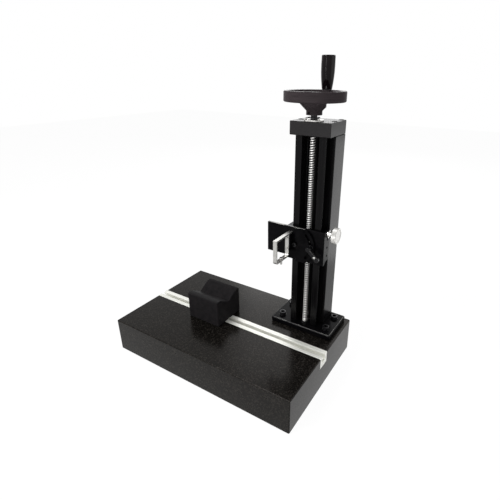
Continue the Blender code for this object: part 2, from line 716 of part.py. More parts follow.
def make_bearing(steel, brass, screw_home):
    """A double-row ball bearing: the outer ring sits in the block, the inner one on the screw, and a cage
    holds both rows of balls between them."""
    outer = bmesh.new()
    add_ring(outer, screw_axis_at(BEARING_SEAT), ALONG_Z, OUTER_RING_BORE, BEARING_RADIUS, BEARING_HEIGHT)
    finish("bearing_outer_ring", outer, steel, smooth=True)
    inner = bmesh.new()
    add_ring(inner, screw_axis_at(BEARING_SEAT), ALONG_Z, JOURNAL_BORE, INNER_RING_RADIUS, BEARING_HEIGHT)
    finish("bearing_inner_ring", inner, steel, home=screw_home, smooth=True)
    circle = (INNER_RING_RADIUS + OUTER_RING_BORE) / 2
    ball_radius = (OUTER_RING_BORE - INNER_RING_RADIUS) / 2 - SEAT_GAP
    wall = ball_radius * CAGE_WALL_SHARE
    cage = bmesh.new()
    foot = screw_axis_at(BEARING_SEAT + CAGE_INSET)
    add_ring(cage, foot, ALONG_Z, circle - wall, circle + wall, BEARING_HEIGHT - 2 * CAGE_INSET)
    holder = finish("bearing_cage", cage, brass)
    balls = bmesh.new()
    for row in BALL_ROW_SHARES:
        for index in range(BALLS_IN_A_ROW):
            turn = math.tau * index / BALLS_IN_A_ROW
            offset = Vector((math.cos(turn), math.sin(turn), 0.0)) * circle
            place = Matrix.Translation(screw_axis_at(BEARING_SEAT + row * BEARING_HEIGHT) + offset)
            bmesh.ops.create_icosphere(balls, subdivisions=1, radius=ball_radius, matrix=place)
    cut(holder, "balls", balls, "UNION")


def cover_screw_places():
    turns = [math.tau * index / COVER_SCREWS + math.pi / 2 for index in range(COVER_SCREWS)]
    offsets = [Vector((math.cos(turn), math.sin(turn))) * COVER_SCREW_CIRCLE for turn in turns]
    return [(COLUMN_PLACE_X + offset.x, SCREW_PLACE_Y + offset.y) for offset in offsets]


def make_bearing_cover(bright):
    """A round flange over the bearings, cut flat in line with the block's front."""
    bm = bmesh.new()
    foot = screw_axis_at(COVER_UNDERSIDE)
    add_ring(bm, foot, ALONG_Z, COVER_BORE, COVER_RADIUS, COVER_THICKNESS, KNOB_FACETS)
    cover = finish("bearing_cover", bm, bright, smooth=True)
    flat = bmesh.new()
    reach = COVER_RADIUS + OVERRUN
    add_box(
        flat,
        (COLUMN_PLACE_X - reach, SCREW_PLACE_Y - reach, COVER_UNDERSIDE - OVERRUN),
        (COLUMN_PLACE_X + reach, BLOCK_FRONT + BLOCK_CHAMFER, COVER_TOP + OVERRUN),
    )
    cut(cover, "cover_flat", flat)
    bores = bmesh.new()
    for x, y in cover_screw_places():
        start = (x, y, COVER_UNDERSIDE - OVERRUN)
        add_rod(bores, start, ALONG_Z, COVER_SCREW_RADIUS + SEAT_GAP, COVER_THICKNESS + 2 * OVERRUN)
    cut(cover, "cover_bores", bores)


def make_cover_screws(steel):
    length = COVER_THICKNESS + 2 * SEAT_GAP + COVER_SCREW_LENGTH
    for index, (x, y) in enumerate(cover_screw_places(), 1):
        seat = (x, y, COVER_TOP + SEAT_GAP)
        screw = cap_screw(seat, ALONG_Z, COVER_HEAD_RADIUS, COVER_HEAD_HEIGHT, COVER_SCREW_RADIUS, length)
        finish(f"cover_screw_{index}", screw, steel, smooth=True)


def make_lower_bush(bright):
    bm = bmesh.new()
    flange = BUSH_RADIUS + BUSH_FLANGE
    profile = [
        (JOURNAL_BORE, -BUSH_DEPTH),
        (BUSH_RADIUS, -BUSH_DEPTH),
        (BUSH_RADIUS, SEAT_GAP),
        (flange, SEAT_GAP),
        (flange, BUSH_FLANGE_HEIGHT),
        (JOURNAL_BORE, BUSH_FLANGE_HEIGHT),
    ]
    add_turned(bm, profile, screw_axis_at(FOOT_TOP), ALONG_Z, SHAFT_FACETS)
    finish("lower_bush", bm, bright, smooth=True)


def make_lead_screw(steel, home):
    """A plain rod on its thread's outer diameter, with a journal at each end and a bore at the top."""
    foot = FOOT_TOP - BUSH_DEPTH
    shoulder = foot + LOWER_JOURNAL
    bore = WHEEL_SCREW_RADIUS + SEAT_GAP
    bore_foot = HUB_TOP - WHEEL_SCREW_LENGTH - SEAT_GAP
    profile = [
        (0.0, foot),
        (JOURNAL_RADIUS, foot),
        (JOURNAL_RADIUS, shoulder),
        (SCREW_RADIUS, shoulder),
        (SCREW_RADIUS, BEARING_SEAT - SEAT_GAP),
        (JOURNAL_RADIUS, BEARING_SEAT - SEAT_GAP),
        (JOURNAL_RADIUS, HUB_TOP),
        (bore, HUB_TOP),
        (bore, bore_foot),
        (0.0, bore_foot),
    ]
    bm = bmesh.new()
    add_turned(bm, profile, screw_axis_at(0.0), ALONG_Z, SHAFT_FACETS)
    finish("lead_screw", bm, steel, home=home, smooth=True)


def make_lock_collar(black_steel, home):
    """A collar that holds the inner rings down through the cover, with the neck that the hub stands on."""
    neck = COLLAR_SLEEVE_RADIUS
    flange_top = COLLAR_UNDERSIDE + COLLAR_FLANGE
    profile = [
        (JOURNAL_BORE, BEARING_TOP + SEAT_GAP),
        (neck, BEARING_TOP + SEAT_GAP),
        (neck, COLLAR_UNDERSIDE),
        (COLLAR_RADIUS, COLLAR_UNDERSIDE),
        (COLLAR_RADIUS, flange_top),
        (neck, flange_top),
        (neck, flange_top + COLLAR_NECK),
        (JOURNAL_BORE, flange_top + COLLAR_NECK),
    ]
    bm = bmesh.new()
    add_turned(bm, profile, screw_axis_at(0.0), ALONG_Z, SHAFT_FACETS)
    finish("lock_collar", bm, black_steel, home=home, smooth=True)


def wheel_profile():
    """The wheel's section from its bore round the underside, the rim and back over the top."""
    rim_foot = RIM_ABOVE_HUB_FOOT
    rim_top = rim_foot + RIM_HEIGHT
    inside = WHEEL_RADIUS - RIM_THICKNESS
    edge = RIM_ROUNDING
    quarter = math.pi / 2
    steps = RIM_ARC_FACETS
    rim = arc((inside + edge, rim_foot + edge), edge, 2 * quarter, 3 * quarter, steps)
    rim += arc((WHEEL_RADIUS - edge, rim_foot + edge), edge, -quarter, 0.0, steps)
    rim += arc((WHEEL_RADIUS - edge, rim_top - edge), edge, 0.0, quarter, steps)
    rim += arc((inside + edge, rim_top - edge), edge, quarter, 2 * quarter, steps)
    underside = [
        (JOURNAL_BORE, 0.0),
        (HUB_RADIUS, 0.0),
        (HUB_RADIUS, HUB_STRAIGHT),
        (DISH_RADIUS, DISH_RISE),
        (inside, DISH_OUTER_RISE),
    ]
    top = [
        (inside, DISH_OUTER_RISE + WEB_THICKNESS),
        (DISH_RADIUS, DISH_RISE + WEB_THICKNESS),
        (HUB_RADIUS, HUB_STRAIGHT + 2 * WEB_THICKNESS),
        (HUB_RADIUS, HUB_HEIGHT),
        (JOURNAL_BORE, HUB_HEIGHT),
    ]
    return underside + rim + top


def window_outline(middle):
    """The gap between two spokes, between an inner and an outer arc, with sides parallel to the spokes."""
    half_pitch = math.pi / SPOKES

    def half_angle(radius):
        return half_pitch - math.asin(SPOKE_WIDTH / 2 / radius)

    outer, inner = half_angle(WINDOW_OUTER_RADIUS), half_angle(WINDOW_INNER_RADIUS)
    centre = (COLUMN_PLACE_X, SCREW_PLACE_Y)
    points = arc(centre, WINDOW_OUTER_RADIUS, middle - outer, middle + outer, WINDOW_FACETS)
    return points + arc(centre, WINDOW_INNER_RADIUS, middle + inner, middle - inner, WINDOW_FACETS // 2)


def handle_axis_at(z):
    offset = Vector((math.cos(HANDLE_ANGLE), math.sin(HANDLE_ANGLE), 0.0)) * HANDLE_CIRCLE
    return screw_axis_at(z) + offset


def make_handwheel(phenolic, home):
    bm = bmesh.new()
    add_turned(bm, wheel_profile(), screw_axis_at(HUB_FOOT), ALONG_Z, WHEEL_FACETS)
    wheel = finish("handwheel", bm, phenolic, home=home, smooth=True)
    boss = bmesh.new()
    boss_foot = HUB_FOOT + DISH_OUTER_RISE - WEB_THICKNESS
    add_rod(boss, handle_axis_at(boss_foot), ALONG_Z, HANDLE_BOSS_RADIUS, RIM_TOP - boss_foot, SHAFT_FACETS)
    cut(wheel, "handle_boss", boss, "UNION")
    windows = bmesh.new()
    for index in range(SPOKES):
        middle = HANDLE_ANGLE + math.tau * (index + 1 / 2) / SPOKES
        outline = in_plan(window_outline(middle), HUB_FOOT - OVERRUN)
        add_prism(windows, outline, Vector(), ALONG_Z * (HUB_HEIGHT + RIM_HEIGHT + OVERRUN))
    cut(wheel, "spoke_windows", windows)
    bores = bmesh.new()
    foot = handle_axis_at(RIM_TOP - HANDLE_STUD_ROOT - SEAT_GAP)
    depth = HANDLE_STUD_ROOT + SEAT_GAP + OVERRUN
    add_rod(bores, foot, ALONG_Z, HANDLE_STUD_RADIUS + SEAT_GAP, depth)
    cut(wheel, "stud_bore", bores)
    bores = bmesh.new()
    outward = Vector((math.cos(GRUB_ANGLE), math.sin(GRUB_ANGLE), 0.0))
    start = screw_axis_at(HUB_FOOT + GRUB_HEIGHT) + outward * JOURNAL_RADIUS
    add_rod(bores, start, outward, GRUB_RADIUS + SEAT_GAP, HUB_RADIUS - JOURNAL_RADIUS + OVERRUN)
    cut(wheel, "grub_bore", bores)


def make_wheel_fasteners(black_steel, home):
    outward = Vector((math.cos(GRUB_ANGLE), math.sin(GRUB_ANGLE), 0.0))
    grub = bmesh.new()
    start = screw_axis_at(HUB_FOOT + GRUB_HEIGHT) + outward * JOURNAL_BORE
    add_rod(grub, start, outward, GRUB_RADIUS, GRUB_LENGTH)
    finish("hub_grub_screw", grub, black_steel, home=home, smooth=True)
    seat = screw_axis_at(HUB_TOP + SEAT_GAP)
    head = (WHEEL_HEAD_RADIUS, WHEEL_HEAD_HEIGHT)
    screw = cap_screw(seat, ALONG_Z, *head, WHEEL_SCREW_RADIUS, WHEEL_SCREW_LENGTH)
    finish("wheel_end_screw", screw, black_steel, home=home, smooth=True)


def make_handle(phenolic, steel, wheel_home, grip_home):
    """The stud is fixed in the wheel's boss, and the grip turns on it."""
    flange_top = HANDLE_STUD_FLANGE_HEIGHT + SEAT_GAP
    profile = [
        (0.0, -HANDLE_STUD_ROOT),
        (HANDLE_STUD_RADIUS, -HANDLE_STUD_ROOT),
        (HANDLE_STUD_RADIUS, SEAT_GAP),
        (HANDLE_STUD_FLANGE, SEAT_GAP),
        (HANDLE_STUD_FLANGE, flange_top),
        (HANDLE_STUD_RADIUS, flange_top),
        (HANDLE_STUD_RADIUS, HANDLE_STUD_REACH),
        (0.0, HANDLE_STUD_REACH),
    ]
    stud = bmesh.new()
    add_turned(stud, profile, handle_axis_at(RIM_TOP), ALONG_Z, SHAFT_FACETS)
    finish("handle_stud", stud, steel, home=wheel_home, smooth=True)
    foot = flange_top + SEAT_GAP
    bore = HANDLE_STUD_RADIUS + SEAT_GAP
    growth = HANDLE_TOP_RADIUS - HANDLE_FOOT_RADIUS
    outside = [
        (HANDLE_FOOT_RADIUS + growth * taper, foot + HANDLE_LENGTH * along)
        for taper, along in zip(HANDLE_TAPER_SHARES, HANDLE_LENGTH_SHARES)
    ]
    bore_top = HANDLE_STUD_REACH + SEAT_GAP
    profile = [(0.0, bore_top), (bore, bore_top), (bore, foot)] + outside + [(0.0, foot + HANDLE_LENGTH)]
    grip = bmesh.new()
    add_turned(grip, profile, handle_axis_at(RIM_TOP), ALONG_Z, KNOB_FACETS)
    finish("handle_grip", grip, phenolic, home=grip_home, smooth=True)


def carriage_outline():
    """The carriage's section: a front wall and two jaws that hook behind the dovetail, the right one with
    room for the gib strip."""
    side = CARRIAGE_WIDTH / 2
    left_gap = FLANK_GAP
    right_gap = 2 * FLANK_GAP + GIB_WIDTH_X
    wide = DOVETAIL_WIDTH / 2
    narrow = wide - FLANK_INSET
    points = [
        (-side, CARRIAGE_FRONT),
        (side, CARRIAGE_FRONT),
        (side, CARRIAGE_BACK),
        (narrow + right_gap, CARRIAGE_BACK),
        (narrow + right_gap, FLANK_BACK),
        (wide + right_gap, FLANK_FRONT),
        (wide + right_gap, CARRIAGE_INSIDE),
        (-wide - left_gap, CARRIAGE_INSIDE),
        (-wide - left_gap, FLANK_FRONT),
        (-narrow - left_gap, FLANK_BACK),
        (-narrow - left_gap, CARRIAGE_BACK),
        (-side, CARRIAGE_BACK),
    ]
    return [(COLUMN_PLACE_X + x, y) for x, y in points]


def gib_face(y):
    """How far right the gib strip's outer face lies from the column's middle, at a depth y."""
    inset = (y - FLANK_FRONT) * math.tan(DOVETAIL_ANGLE)
    return DOVETAIL_WIDTH / 2 + FLANK_GAP + GIB_WIDTH_X - inset


def gib_screw_heights():
    return [CARRIAGE_FOOT + GIB_SCREW_ABOVE_FOOT + GIB_SCREW_SPACING * index for index in range(GIB_SCREWS)]


def nut_screw_places():
    """Two screws, one at each of two opposite corners."""
    return [
        (COLUMN_PLACE_X + side * NUT_SCREW_SPACING_X / 2, PIVOT_Z + side * NUT_SCREW_SPACING_Z / 2)
        for side in (-1, 1)
    ]


def make_carriage(black, home):
    bm = bmesh.new()
    add_prism(bm, in_plan(carriage_outline(), CARRIAGE_FOOT), Vector(), ALONG_Z * CARRIAGE_HEIGHT)
    carriage = finish("carriage", bm, black, home=home)
    round_edges(carriage, CARRIAGE_CHAMFER)
    undercut = bmesh.new()
    front = CARRIAGE_INSIDE + CARRIAGE_CHAMFER
    curve = arc((front + JAW_CURVE, JAW_FOOT - JAW_CURVE), JAW_CURVE, math.pi, math.pi / 2, ARC_FACETS)
    outline = [(front, CARRIAGE_FOOT - JAW_CURVE)] + curve
    outline += [(BOX_FRONT, JAW_FOOT), (BOX_FRONT, CARRIAGE_FOOT - JAW_CURVE)]
    reach = CARRIAGE_WIDTH / 2 + OVERRUN
    start = in_side_view(outline, COLUMN_PLACE_X - reach)
    add_prism(undercut, start, Vector(), ALONG_X * (2 * reach))
    cut(carriage, "jaw_undercut", undercut)
    bores = bmesh.new()
    inner = DOVETAIL_WIDTH / 2 - FLANK_INSET
    length = CARRIAGE_WIDTH / 2 - inner + OVERRUN
    for z in gib_screw_heights():
        add_rod(bores, (COLUMN_PLACE_X + inner, LOCK_Y, z), ALONG_X, GIB_SCREW_RADIUS + SEAT_GAP, length)
    start = (COLUMN_PLACE_X + inner, LOCK_Y, LOCK_Z)
    add_rod(bores, start, ALONG_X, LOCK_STUD_RADIUS + SEAT_GAP, length)
    cut(carriage, "side_bores", bores)
    bores = bmesh.new()
    wall = CARRIAGE_FRONT_WALL + 2 * OVERRUN
    fixed = [(PIVOT_X, PIVOT_Z, PIVOT_THREAD_RADIUS), (CLAMP_STUD_X, PIVOT_Z, CLAMP_STUD_RADIUS)]
    fixed += [(x, z, NUT_SCREW_RADIUS) for x, z in nut_screw_places()]
    for x, z, radius in fixed:
        add_rod(bores, (x, CARRIAGE_FRONT - OVERRUN, z), ALONG_Y, radius + SEAT_GAP, wall)
    cut(carriage, "front_bores", bores)


def make_gib(black, black_steel, home):
    face = DOVETAIL_WIDTH / 2 + FLANK_GAP
    points = [
        (face, FLANK_FRONT),
        (face + GIB_WIDTH_X, FLANK_FRONT),
        (face + GIB_WIDTH_X - FLANK_INSET, FLANK_BACK),
        (face - FLANK_INSET, FLANK_BACK),
    ]
    outline = in_plan([(COLUMN_PLACE_X + x, y) for x, y in points], JAW_FOOT)
    strip = bmesh.new()
    add_prism(strip, outline, Vector(), ALONG_Z * (CARRIAGE_TOP - JAW_FOOT))
    finish("gib_strip", strip, black, home=home)
    tip = COLUMN_PLACE_X + gib_face(LOCK_Y - GIB_SCREW_RADIUS) + SEAT_GAP
    for index, z in enumerate(gib_screw_heights(), 1):
        screw = bmesh.new()
        add_rod(screw, (tip, LOCK_Y, z), ALONG_X, GIB_SCREW_RADIUS, CARRIAGE_SIDE - GIB_SCREW_SINK - tip)
        finish(f"gib_screw_{index}", screw, black_steel, home=home, smooth=True)


def make_lead_nut(bronze, steel, home):
    bm = bmesh.new()
    low = (COLUMN_PLACE_X - NUT_WIDTH / 2, DOVETAIL_FRONT, PIVOT_Z - NUT_HEIGHT / 2)
    high = (COLUMN_PLACE_X + NUT_WIDTH / 2, SCREW_PLACE_Y + NUT_BEHIND_SCREW, PIVOT_Z + NUT_HEIGHT / 2)
    add_box(bm, low, high)
    nut = finish("lead_nut", bm, bronze, home=home)
    round_edges(nut, CARRIAGE_CHAMFER)
    bores = bmesh.new()
    start = screw_axis_at(PIVOT_Z - NUT_HEIGHT / 2 - OVERRUN)
    add_rod(bores, start, ALONG_Z, SCREW_RADIUS + SEAT_GAP, NUT_HEIGHT + 2 * OVERRUN, SHAFT_FACETS)
    cut(nut, "screw_bore", bores)
    bores = bmesh.new()
    depth = NUT_SCREW_LENGTH - CARRIAGE_FRONT_WALL
    for x, z in nut_screw_places():
        start = (x, DOVETAIL_FRONT - OVERRUN, z)
        add_rod(bores, start, ALONG_Y, NUT_SCREW_RADIUS + SEAT_GAP, depth + OVERRUN)
    cut(nut, "nut_bores", bores)
    for index, (x, z) in enumerate(nut_screw_places(), 1):
        screw = bmesh.new()
        start = (x, CARRIAGE_FRONT + SEAT_GAP, z)
        add_rod(screw, start, ALONG_Y, NUT_SCREW_RADIUS, NUT_SCREW_LENGTH - 2 * SEAT_GAP)
        finish(f"lead_nut_screw_{index}", screw, steel, home=home, smooth=True)


def make_lock(bright, carriage_home, lock_home):
    """A bush on the carriage's side, and the thumb screw that presses the gib against the dovetail."""
    bush = bmesh.new()
    start = (CARRIAGE_SIDE + SEAT_GAP, LOCK_Y, LOCK_Z)
    add_ring(bush, start, ALONG_X, LOCK_STUD_RADIUS + SEAT_GAP, LOCK_BUSH_RADIUS, LOCK_BUSH_LENGTH)
    finish("lock_bush", bush, bright, home=carriage_home, smooth=True)
    knob = bmesh.new()
    edge = LOCK_KNOB_EDGE
    tip = COLUMN_PLACE_X + gib_face(LOCK_Y - LOCK_STUD_RADIUS) + SEAT_GAP - KNOB_BACK_X
    profile = [
        (0.0, tip),
        (LOCK_STUD_RADIUS, tip),
        (LOCK_STUD_RADIUS, 0.0),
        (LOCK_KNOB_RADIUS - edge, 0.0),
        (LOCK_KNOB_RADIUS, edge),
        (LOCK_KNOB_RADIUS, LOCK_KNOB_THICKNESS - edge),
        (LOCK_KNOB_RADIUS - edge, LOCK_KNOB_THICKNESS),
        (0.0, LOCK_KNOB_THICKNESS),
    ]
    add_turned(knob, profile, (KNOB_BACK_X, LOCK_Y, LOCK_Z), ALONG_X, KNOB_FACETS)
    finish("lock_knob", knob, bright, home=lock_home, smooth=True)


def holder_outline():
    """The holder plate in front view: a rectangle for the tester on the left, a round end with the slot on
    the right."""
    top_angle = math.asin(PLATE_UP / PLATE_END_RADIUS)
    end = arc((0.0, 0.0), PLATE_END_RADIUS, -top_angle, top_angle, SLOT_FACETS)
    points = [(-PLATE_LEFT, PLATE_UP), (-PLATE_LEFT, -PLATE_DOWN), (-PLATE_STEP_LEFT, -PLATE_DOWN)]
    step = PLATE_UP - PLATE_DOWN
    points += arc((-PLATE_STEP_LEFT, -PLATE_UP), step, math.pi / 2, 0.0, ARC_FACETS)[1:]
    return [(PIVOT_X + x, PIVOT_Z + z) for x, z in points + end]


def slot_outline():
    """The arc slot about the pivot, with round ends."""
    outer, inner = SLOT_RADIUS + SLOT_HALF_WIDTH, SLOT_RADIUS - SLOT_HALF_WIDTH
    reach = SLOT_HALF_ANGLE
    high = (SLOT_RADIUS * math.cos(reach), SLOT_RADIUS * math.sin(reach))
    low = (high[0], -high[1])
    points = arc((0.0, 0.0), outer, -reach, reach, SLOT_FACETS)
    points += arc(high, SLOT_HALF_WIDTH, reach, reach + math.pi, ARC_FACETS)[1:-1]
    points += arc((0.0, 0.0), inner, reach, -reach, SLOT_FACETS)
    points += arc(low, SLOT_HALF_WIDTH, math.pi - reach, math.tau - reach, ARC_FACETS)[1:-1]
    return [(PIVOT_X + x, PIVOT_Z + z) for x, z in points]


def frame_screw_heights():
    middle = (FRAME_TOP - FRAME_STRIP_THICKNESS + FRAME_FOOT + FRAME_BLOCK_DROP) / 2
    return [middle - FRAME_SCREW_SPACING / 2, middle + FRAME_SCREW_SPACING / 2]


def add_frame_screw_bores(bm, start, length):
    for z in frame_screw_heights():
        add_rod(bm, (FRAME_MIDDLE_X, start, z), ALONG_Y, FRAME_SCREW_RADIUS + SEAT_GAP, length)


def make_holder_plate(black, home):
    bm = bmesh.new()
    add_prism(bm, in_front_view(holder_outline(), PLATE_FRONT), Vector(), ALONG_Y * PLATE_THICKNESS)
    plate = finish("holder_plate", bm, black, home=home)
    round_edges(plate, PLATE_CHAMFER)
    cuts = bmesh.new()
    start, length = PLATE_FRONT - OVERRUN, PLATE_THICKNESS + 2 * OVERRUN
    add_prism(cuts, in_front_view(slot_outline(), start), Vector(), ALONG_Y * length)
    bore = PIVOT_SHOULDER_RADIUS + SEAT_GAP
    add_rod(cuts, (PIVOT_X, start, PIVOT_Z), ALONG_Y, bore, length, SHAFT_FACETS)
    add_frame_screw_bores(cuts, start, length)
    cut(plate, "holder_cuts", cuts)


def make_pivot_screw(black_steel, home):
    """A shoulder screw: its thread in the carriage, its shoulder in the plate."""
    shoulder = PLATE_THICKNESS + 2 * SEAT_GAP
    thread = CARRIAGE_FRONT_WALL - SEAT_GAP
    profile = [
        (0.0, -thread),
        (PIVOT_THREAD_RADIUS, -thread),
        (PIVOT_THREAD_RADIUS, SEAT_GAP / 2),
        (PIVOT_SHOULDER_RADIUS, SEAT_GAP / 2),
        (PIVOT_SHOULDER_RADIUS, shoulder),
        (PIVOT_HEAD_RADIUS, shoulder),
        (PIVOT_HEAD_RADIUS, shoulder + PIVOT_HEAD_HEIGHT),
        (0.0, shoulder + PIVOT_HEAD_HEIGHT),
    ]
    bm = bmesh.new()
    add_turned(bm, profile, (PIVOT_X, CARRIAGE_FRONT, PIVOT_Z), -ALONG_Y, SHAFT_FACETS)
    finish("pivot_screw", bm, black_steel, home=home, smooth=True)


def make_tilt_clamp(black, steel, carriage_home, lever_home):
    """The stud is fixed in the carriage and runs through the slot. The lever nips the plate by a washer."""
    stud = bmesh.new()
    stud_end = LEVER_BACK - LEVER_HUB_HEIGHT / 2
    back = CARRIAGE_INSIDE - SEAT_GAP
    add_rod(stud, (CLAMP_STUD_X, stud_end, PIVOT_Z), ALONG_Y, CLAMP_STUD_RADIUS, back - stud_end)
    finish("clamp_stud", stud, steel, home=carriage_home, smooth=True)
    bore = CLAMP_STUD_RADIUS + SEAT_GAP
    washer = bmesh.new()
    start = (CLAMP_STUD_X, WASHER_FRONT, PIVOT_Z)
    add_ring(washer, start, ALONG_Y, bore, CLAMP_WASHER_RADIUS, CLAMP_WASHER_THICKNESS)
    finish("clamp_washer", washer, steel, home=carriage_home, smooth=True)
    hub = bmesh.new()
    pocket = LEVER_BACK - stud_end + SEAT_GAP
    profile = [
        (0.0, pocket),
        (bore, pocket),
        (bore, 0.0),
        (LEVER_HUB_RADIUS, 0.0),
        (LEVER_HUB_RADIUS, LEVER_HUB_HEIGHT / 2),
        (LEVER_HUB_TOP_RADIUS, LEVER_HUB_HEIGHT),
        (0.0, LEVER_HUB_HEIGHT),
    ]
    add_turned(hub, profile, (CLAMP_STUD_X, LEVER_BACK, PIVOT_Z), -ALONG_Y, SHAFT_FACETS)
    lever = finish("clamp_lever", hub, black, home=lever_home, smooth=True)
    arm = bmesh.new()
    half = LEVER_ROOT_WIDTH / 2
    outline = [(0.0, half), (0.0, -half)]
    outline += arc((LEVER_LENGTH, 0.0), LEVER_END_RADIUS, -LEVER_END_TURN, LEVER_END_TURN, 2 * ARC_FACETS)
    turn = Matrix.Rotation(-LEVER_ANGLE, 3, ALONG_Y)
    root = Vector((CLAMP_STUD_X, LEVER_FRONT + SEAT_GAP, PIVOT_Z))
    turned_outline = [turn @ Vector(point) + root for point in in_front_view(outline)]
    add_prism(arm, turned_outline, Vector(), ALONG_Y * (LEVER_THICKNESS - SEAT_GAP))
    cut(lever, "lever_arm", arm, "UNION")


def frame_outline():
    """The bent strip in side view, with the tongue at its top that runs back to the holder plate."""
    quarter = math.pi / 2
    corner = FRAME_CORNER
    tongue_foot = FRAME_TOP - FRAME_STRIP_THICKNESS
    points = [(STANDOFF_BACK, FRAME_TOP), (FRAME_FRONT, FRAME_TOP)]
    points += arc((FRAME_FRONT + corner, FRAME_FOOT + corner), corner, 2 * quarter, 3 * quarter, ARC_FACETS)
    points += arc((FRAME_BACK - corner, FRAME_FOOT + corner), corner, -quarter, 0.0, ARC_FACETS)
    return points + [(FRAME_BACK, tongue_foot), (STANDOFF_BACK, tongue_foot)]


def frame_window():
    """The strip's inside in side view."""
    quarter = math.pi / 2
    strip = FRAME_STRIP_THICKNESS
    corner = max(FRAME_CORNER - strip, SEAT_GAP)
    front, back = FRAME_FRONT + strip, FRAME_BACK - strip
    foot, top = FRAME_FOOT + strip, FRAME_TOP - strip
    points = [(back, top), (front, top)]
    points += arc((front + corner, foot + corner), corner, 2 * quarter, 3 * quarter, ARC_FACETS)
    return points + arc((back - corner, foot + corner), corner, -quarter, 0.0, ARC_FACETS)


def make_clamp_frame(bright, black, home):
    bm = bmesh.new()
    add_prism(bm, in_side_view(frame_outline(), FRAME_LEFT), Vector(), ALONG_X * FRAME_STRIP_WIDTH)
    frame = finish("clamp_frame", bm, bright, home=home)
    cuts = bmesh.new()
    outline = in_side_view(frame_window(), FRAME_LEFT - OVERRUN)
    add_prism(cuts, outline, Vector(), ALONG_X * (FRAME_STRIP_WIDTH + 2 * OVERRUN))
    cut(frame, "frame_window", cuts)
    bores = bmesh.new()
    add_frame_screw_bores(bores, FRAME_BACK - 2 * FRAME_STRIP_THICKNESS, 2 * FRAME_STRIP_THICKNESS + OVERRUN)
    start = (FRAME_MIDDLE_X, (FRAME_FRONT + FRAME_BACK) / 2, FRAME_FOOT - OVERRUN)
    add_rod(bores, start, ALONG_Z, CLAMP_SCREW_RADIUS + SEAT_GAP, FRAME_STRIP_THICKNESS + 2 * OVERRUN)
    cut(frame, "frame_bores", bores)
    standoff = bmesh.new()
    block_top = FRAME_TOP - FRAME_STRIP_THICKNESS - SEAT_GAP
    half = FRAME_BLOCK_WIDTH / 2
    low = (FRAME_MIDDLE_X - half, STANDOFF_FRONT, FRAME_FOOT + FRAME_BLOCK_DROP)
    add_box(standoff, low, (FRAME_MIDDLE_X + half, STANDOFF_BACK, block_top))
    block = finish("frame_standoff", standoff, black, home=home)
    bores = bmesh.new()
    add_frame_screw_bores(bores, STANDOFF_FRONT - OVERRUN, FRAME_STANDOFF + 2 * OVERRUN)
    cut(block, "standoff_bores", bores)
    seat = FRAME_BACK - FRAME_STRIP_THICKNESS - SEAT_GAP
    length = PLATE_BACK - SEAT_GAP - seat
    for index, z in enumerate(frame_screw_heights(), 1):
        place = (FRAME_MIDDLE_X, seat, z)
        screw = cap_screw(place, -ALONG_Y, FRAME_HEAD_RADIUS, FRAME_HEAD_HEIGHT, FRAME_SCREW_RADIUS, length)
        finish(f"frame_screw_{index}", screw, bright, home=home, smooth=True)


def make_clamp_screw(black_steel, steel, pad_home, screw_home):
    """The screw under the frame and the loose pad on its tip, which rises as the screw turns."""
    pad_foot = FRAME_FOOT + FRAME_STRIP_THICKNESS + SEAT_GAP
    pocket = PAD_THICKNESS * PAD_POCKET_SHARE
    bore = CLAMP_SCREW_RADIUS + SEAT_GAP
    middle_y = (FRAME_FRONT + FRAME_BACK) / 2
    pad = bmesh.new()
    profile = [
        (0.0, pocket),
        (bore, pocket),
        (bore, 0.0),
        (PAD_RADIUS, 0.0),
        (PAD_RADIUS, PAD_THICKNESS),
        (0.0, PAD_THICKNESS),
    ]
    add_turned(pad, profile, (FRAME_MIDDLE_X, middle_y, pad_foot), ALONG_Z, SHAFT_FACETS)
    finish("clamp_pad", pad, steel, home=pad_home, smooth=True)
    screw = bmesh.new()
    foot = FRAME_FOOT - CLAMP_SCREW_BELOW_FRAME
    length = pad_foot + pocket - SEAT_GAP - foot
    add_rod(screw, (FRAME_MIDDLE_X, middle_y, foot), ALONG_Z, CLAMP_SCREW_RADIUS, length)
    finish("clamp_screw", screw, black_steel, home=screw_home, smooth=True)


def vblock_outline():
    """The V-block in side view: a block with a wide vee in its top."""
    side, mouth = VBLOCK_WIDTH / 2, VEE_OPENING / 2
    top = VBLOCK_FOOT + VBLOCK_HEIGHT
    floor = top - mouth / math.tan(VEE_HALF_ANGLE)
    half = [(mouth, top), (side, top), (side, VBLOCK_FOOT)]
    right = [(RAIL_PLACE_Y + y, z) for y, z in half]
    left = [(RAIL_PLACE_Y - y, z) for y, z in reversed(half)]
    return [(RAIL_PLACE_Y, floor)] + right + left


def make_vblock(black, home):
    bm = bmesh.new()
    start = VBLOCK_PLACE_X - VBLOCK_LENGTH / 2
    add_prism(bm, in_side_view(vblock_outline(), start), Vector(), ALONG_X * VBLOCK_LENGTH)
    block = finish("v_block", bm, black, home=home)
    round_edges(block, VBLOCK_CHAMFER)
    key_way = bmesh.new()
    reach, half_width = VBLOCK_LENGTH / 2 + OVERRUN, SLOT_MOUTH / 2
    low = (VBLOCK_PLACE_X - reach, RAIL_PLACE_Y - half_width, VBLOCK_FOOT - OVERRUN)
    high = (VBLOCK_PLACE_X + reach, RAIL_PLACE_Y + half_width, VBLOCK_FOOT + KEY_IN_BLOCK)
    add_box(key_way, low, high)
    cut(block, "key_way", key_way)
    bore = bmesh.new()
    foot = (VBLOCK_PLACE_X, RAIL_PLACE_Y, VBLOCK_FOOT)
    add_rod(bore, foot, ALONG_Z, KEY_SCREW_RADIUS + SEAT_GAP, KEY_SCREW_REACH + SEAT_GAP)
    cut(block, "key_screw_bore", bore)


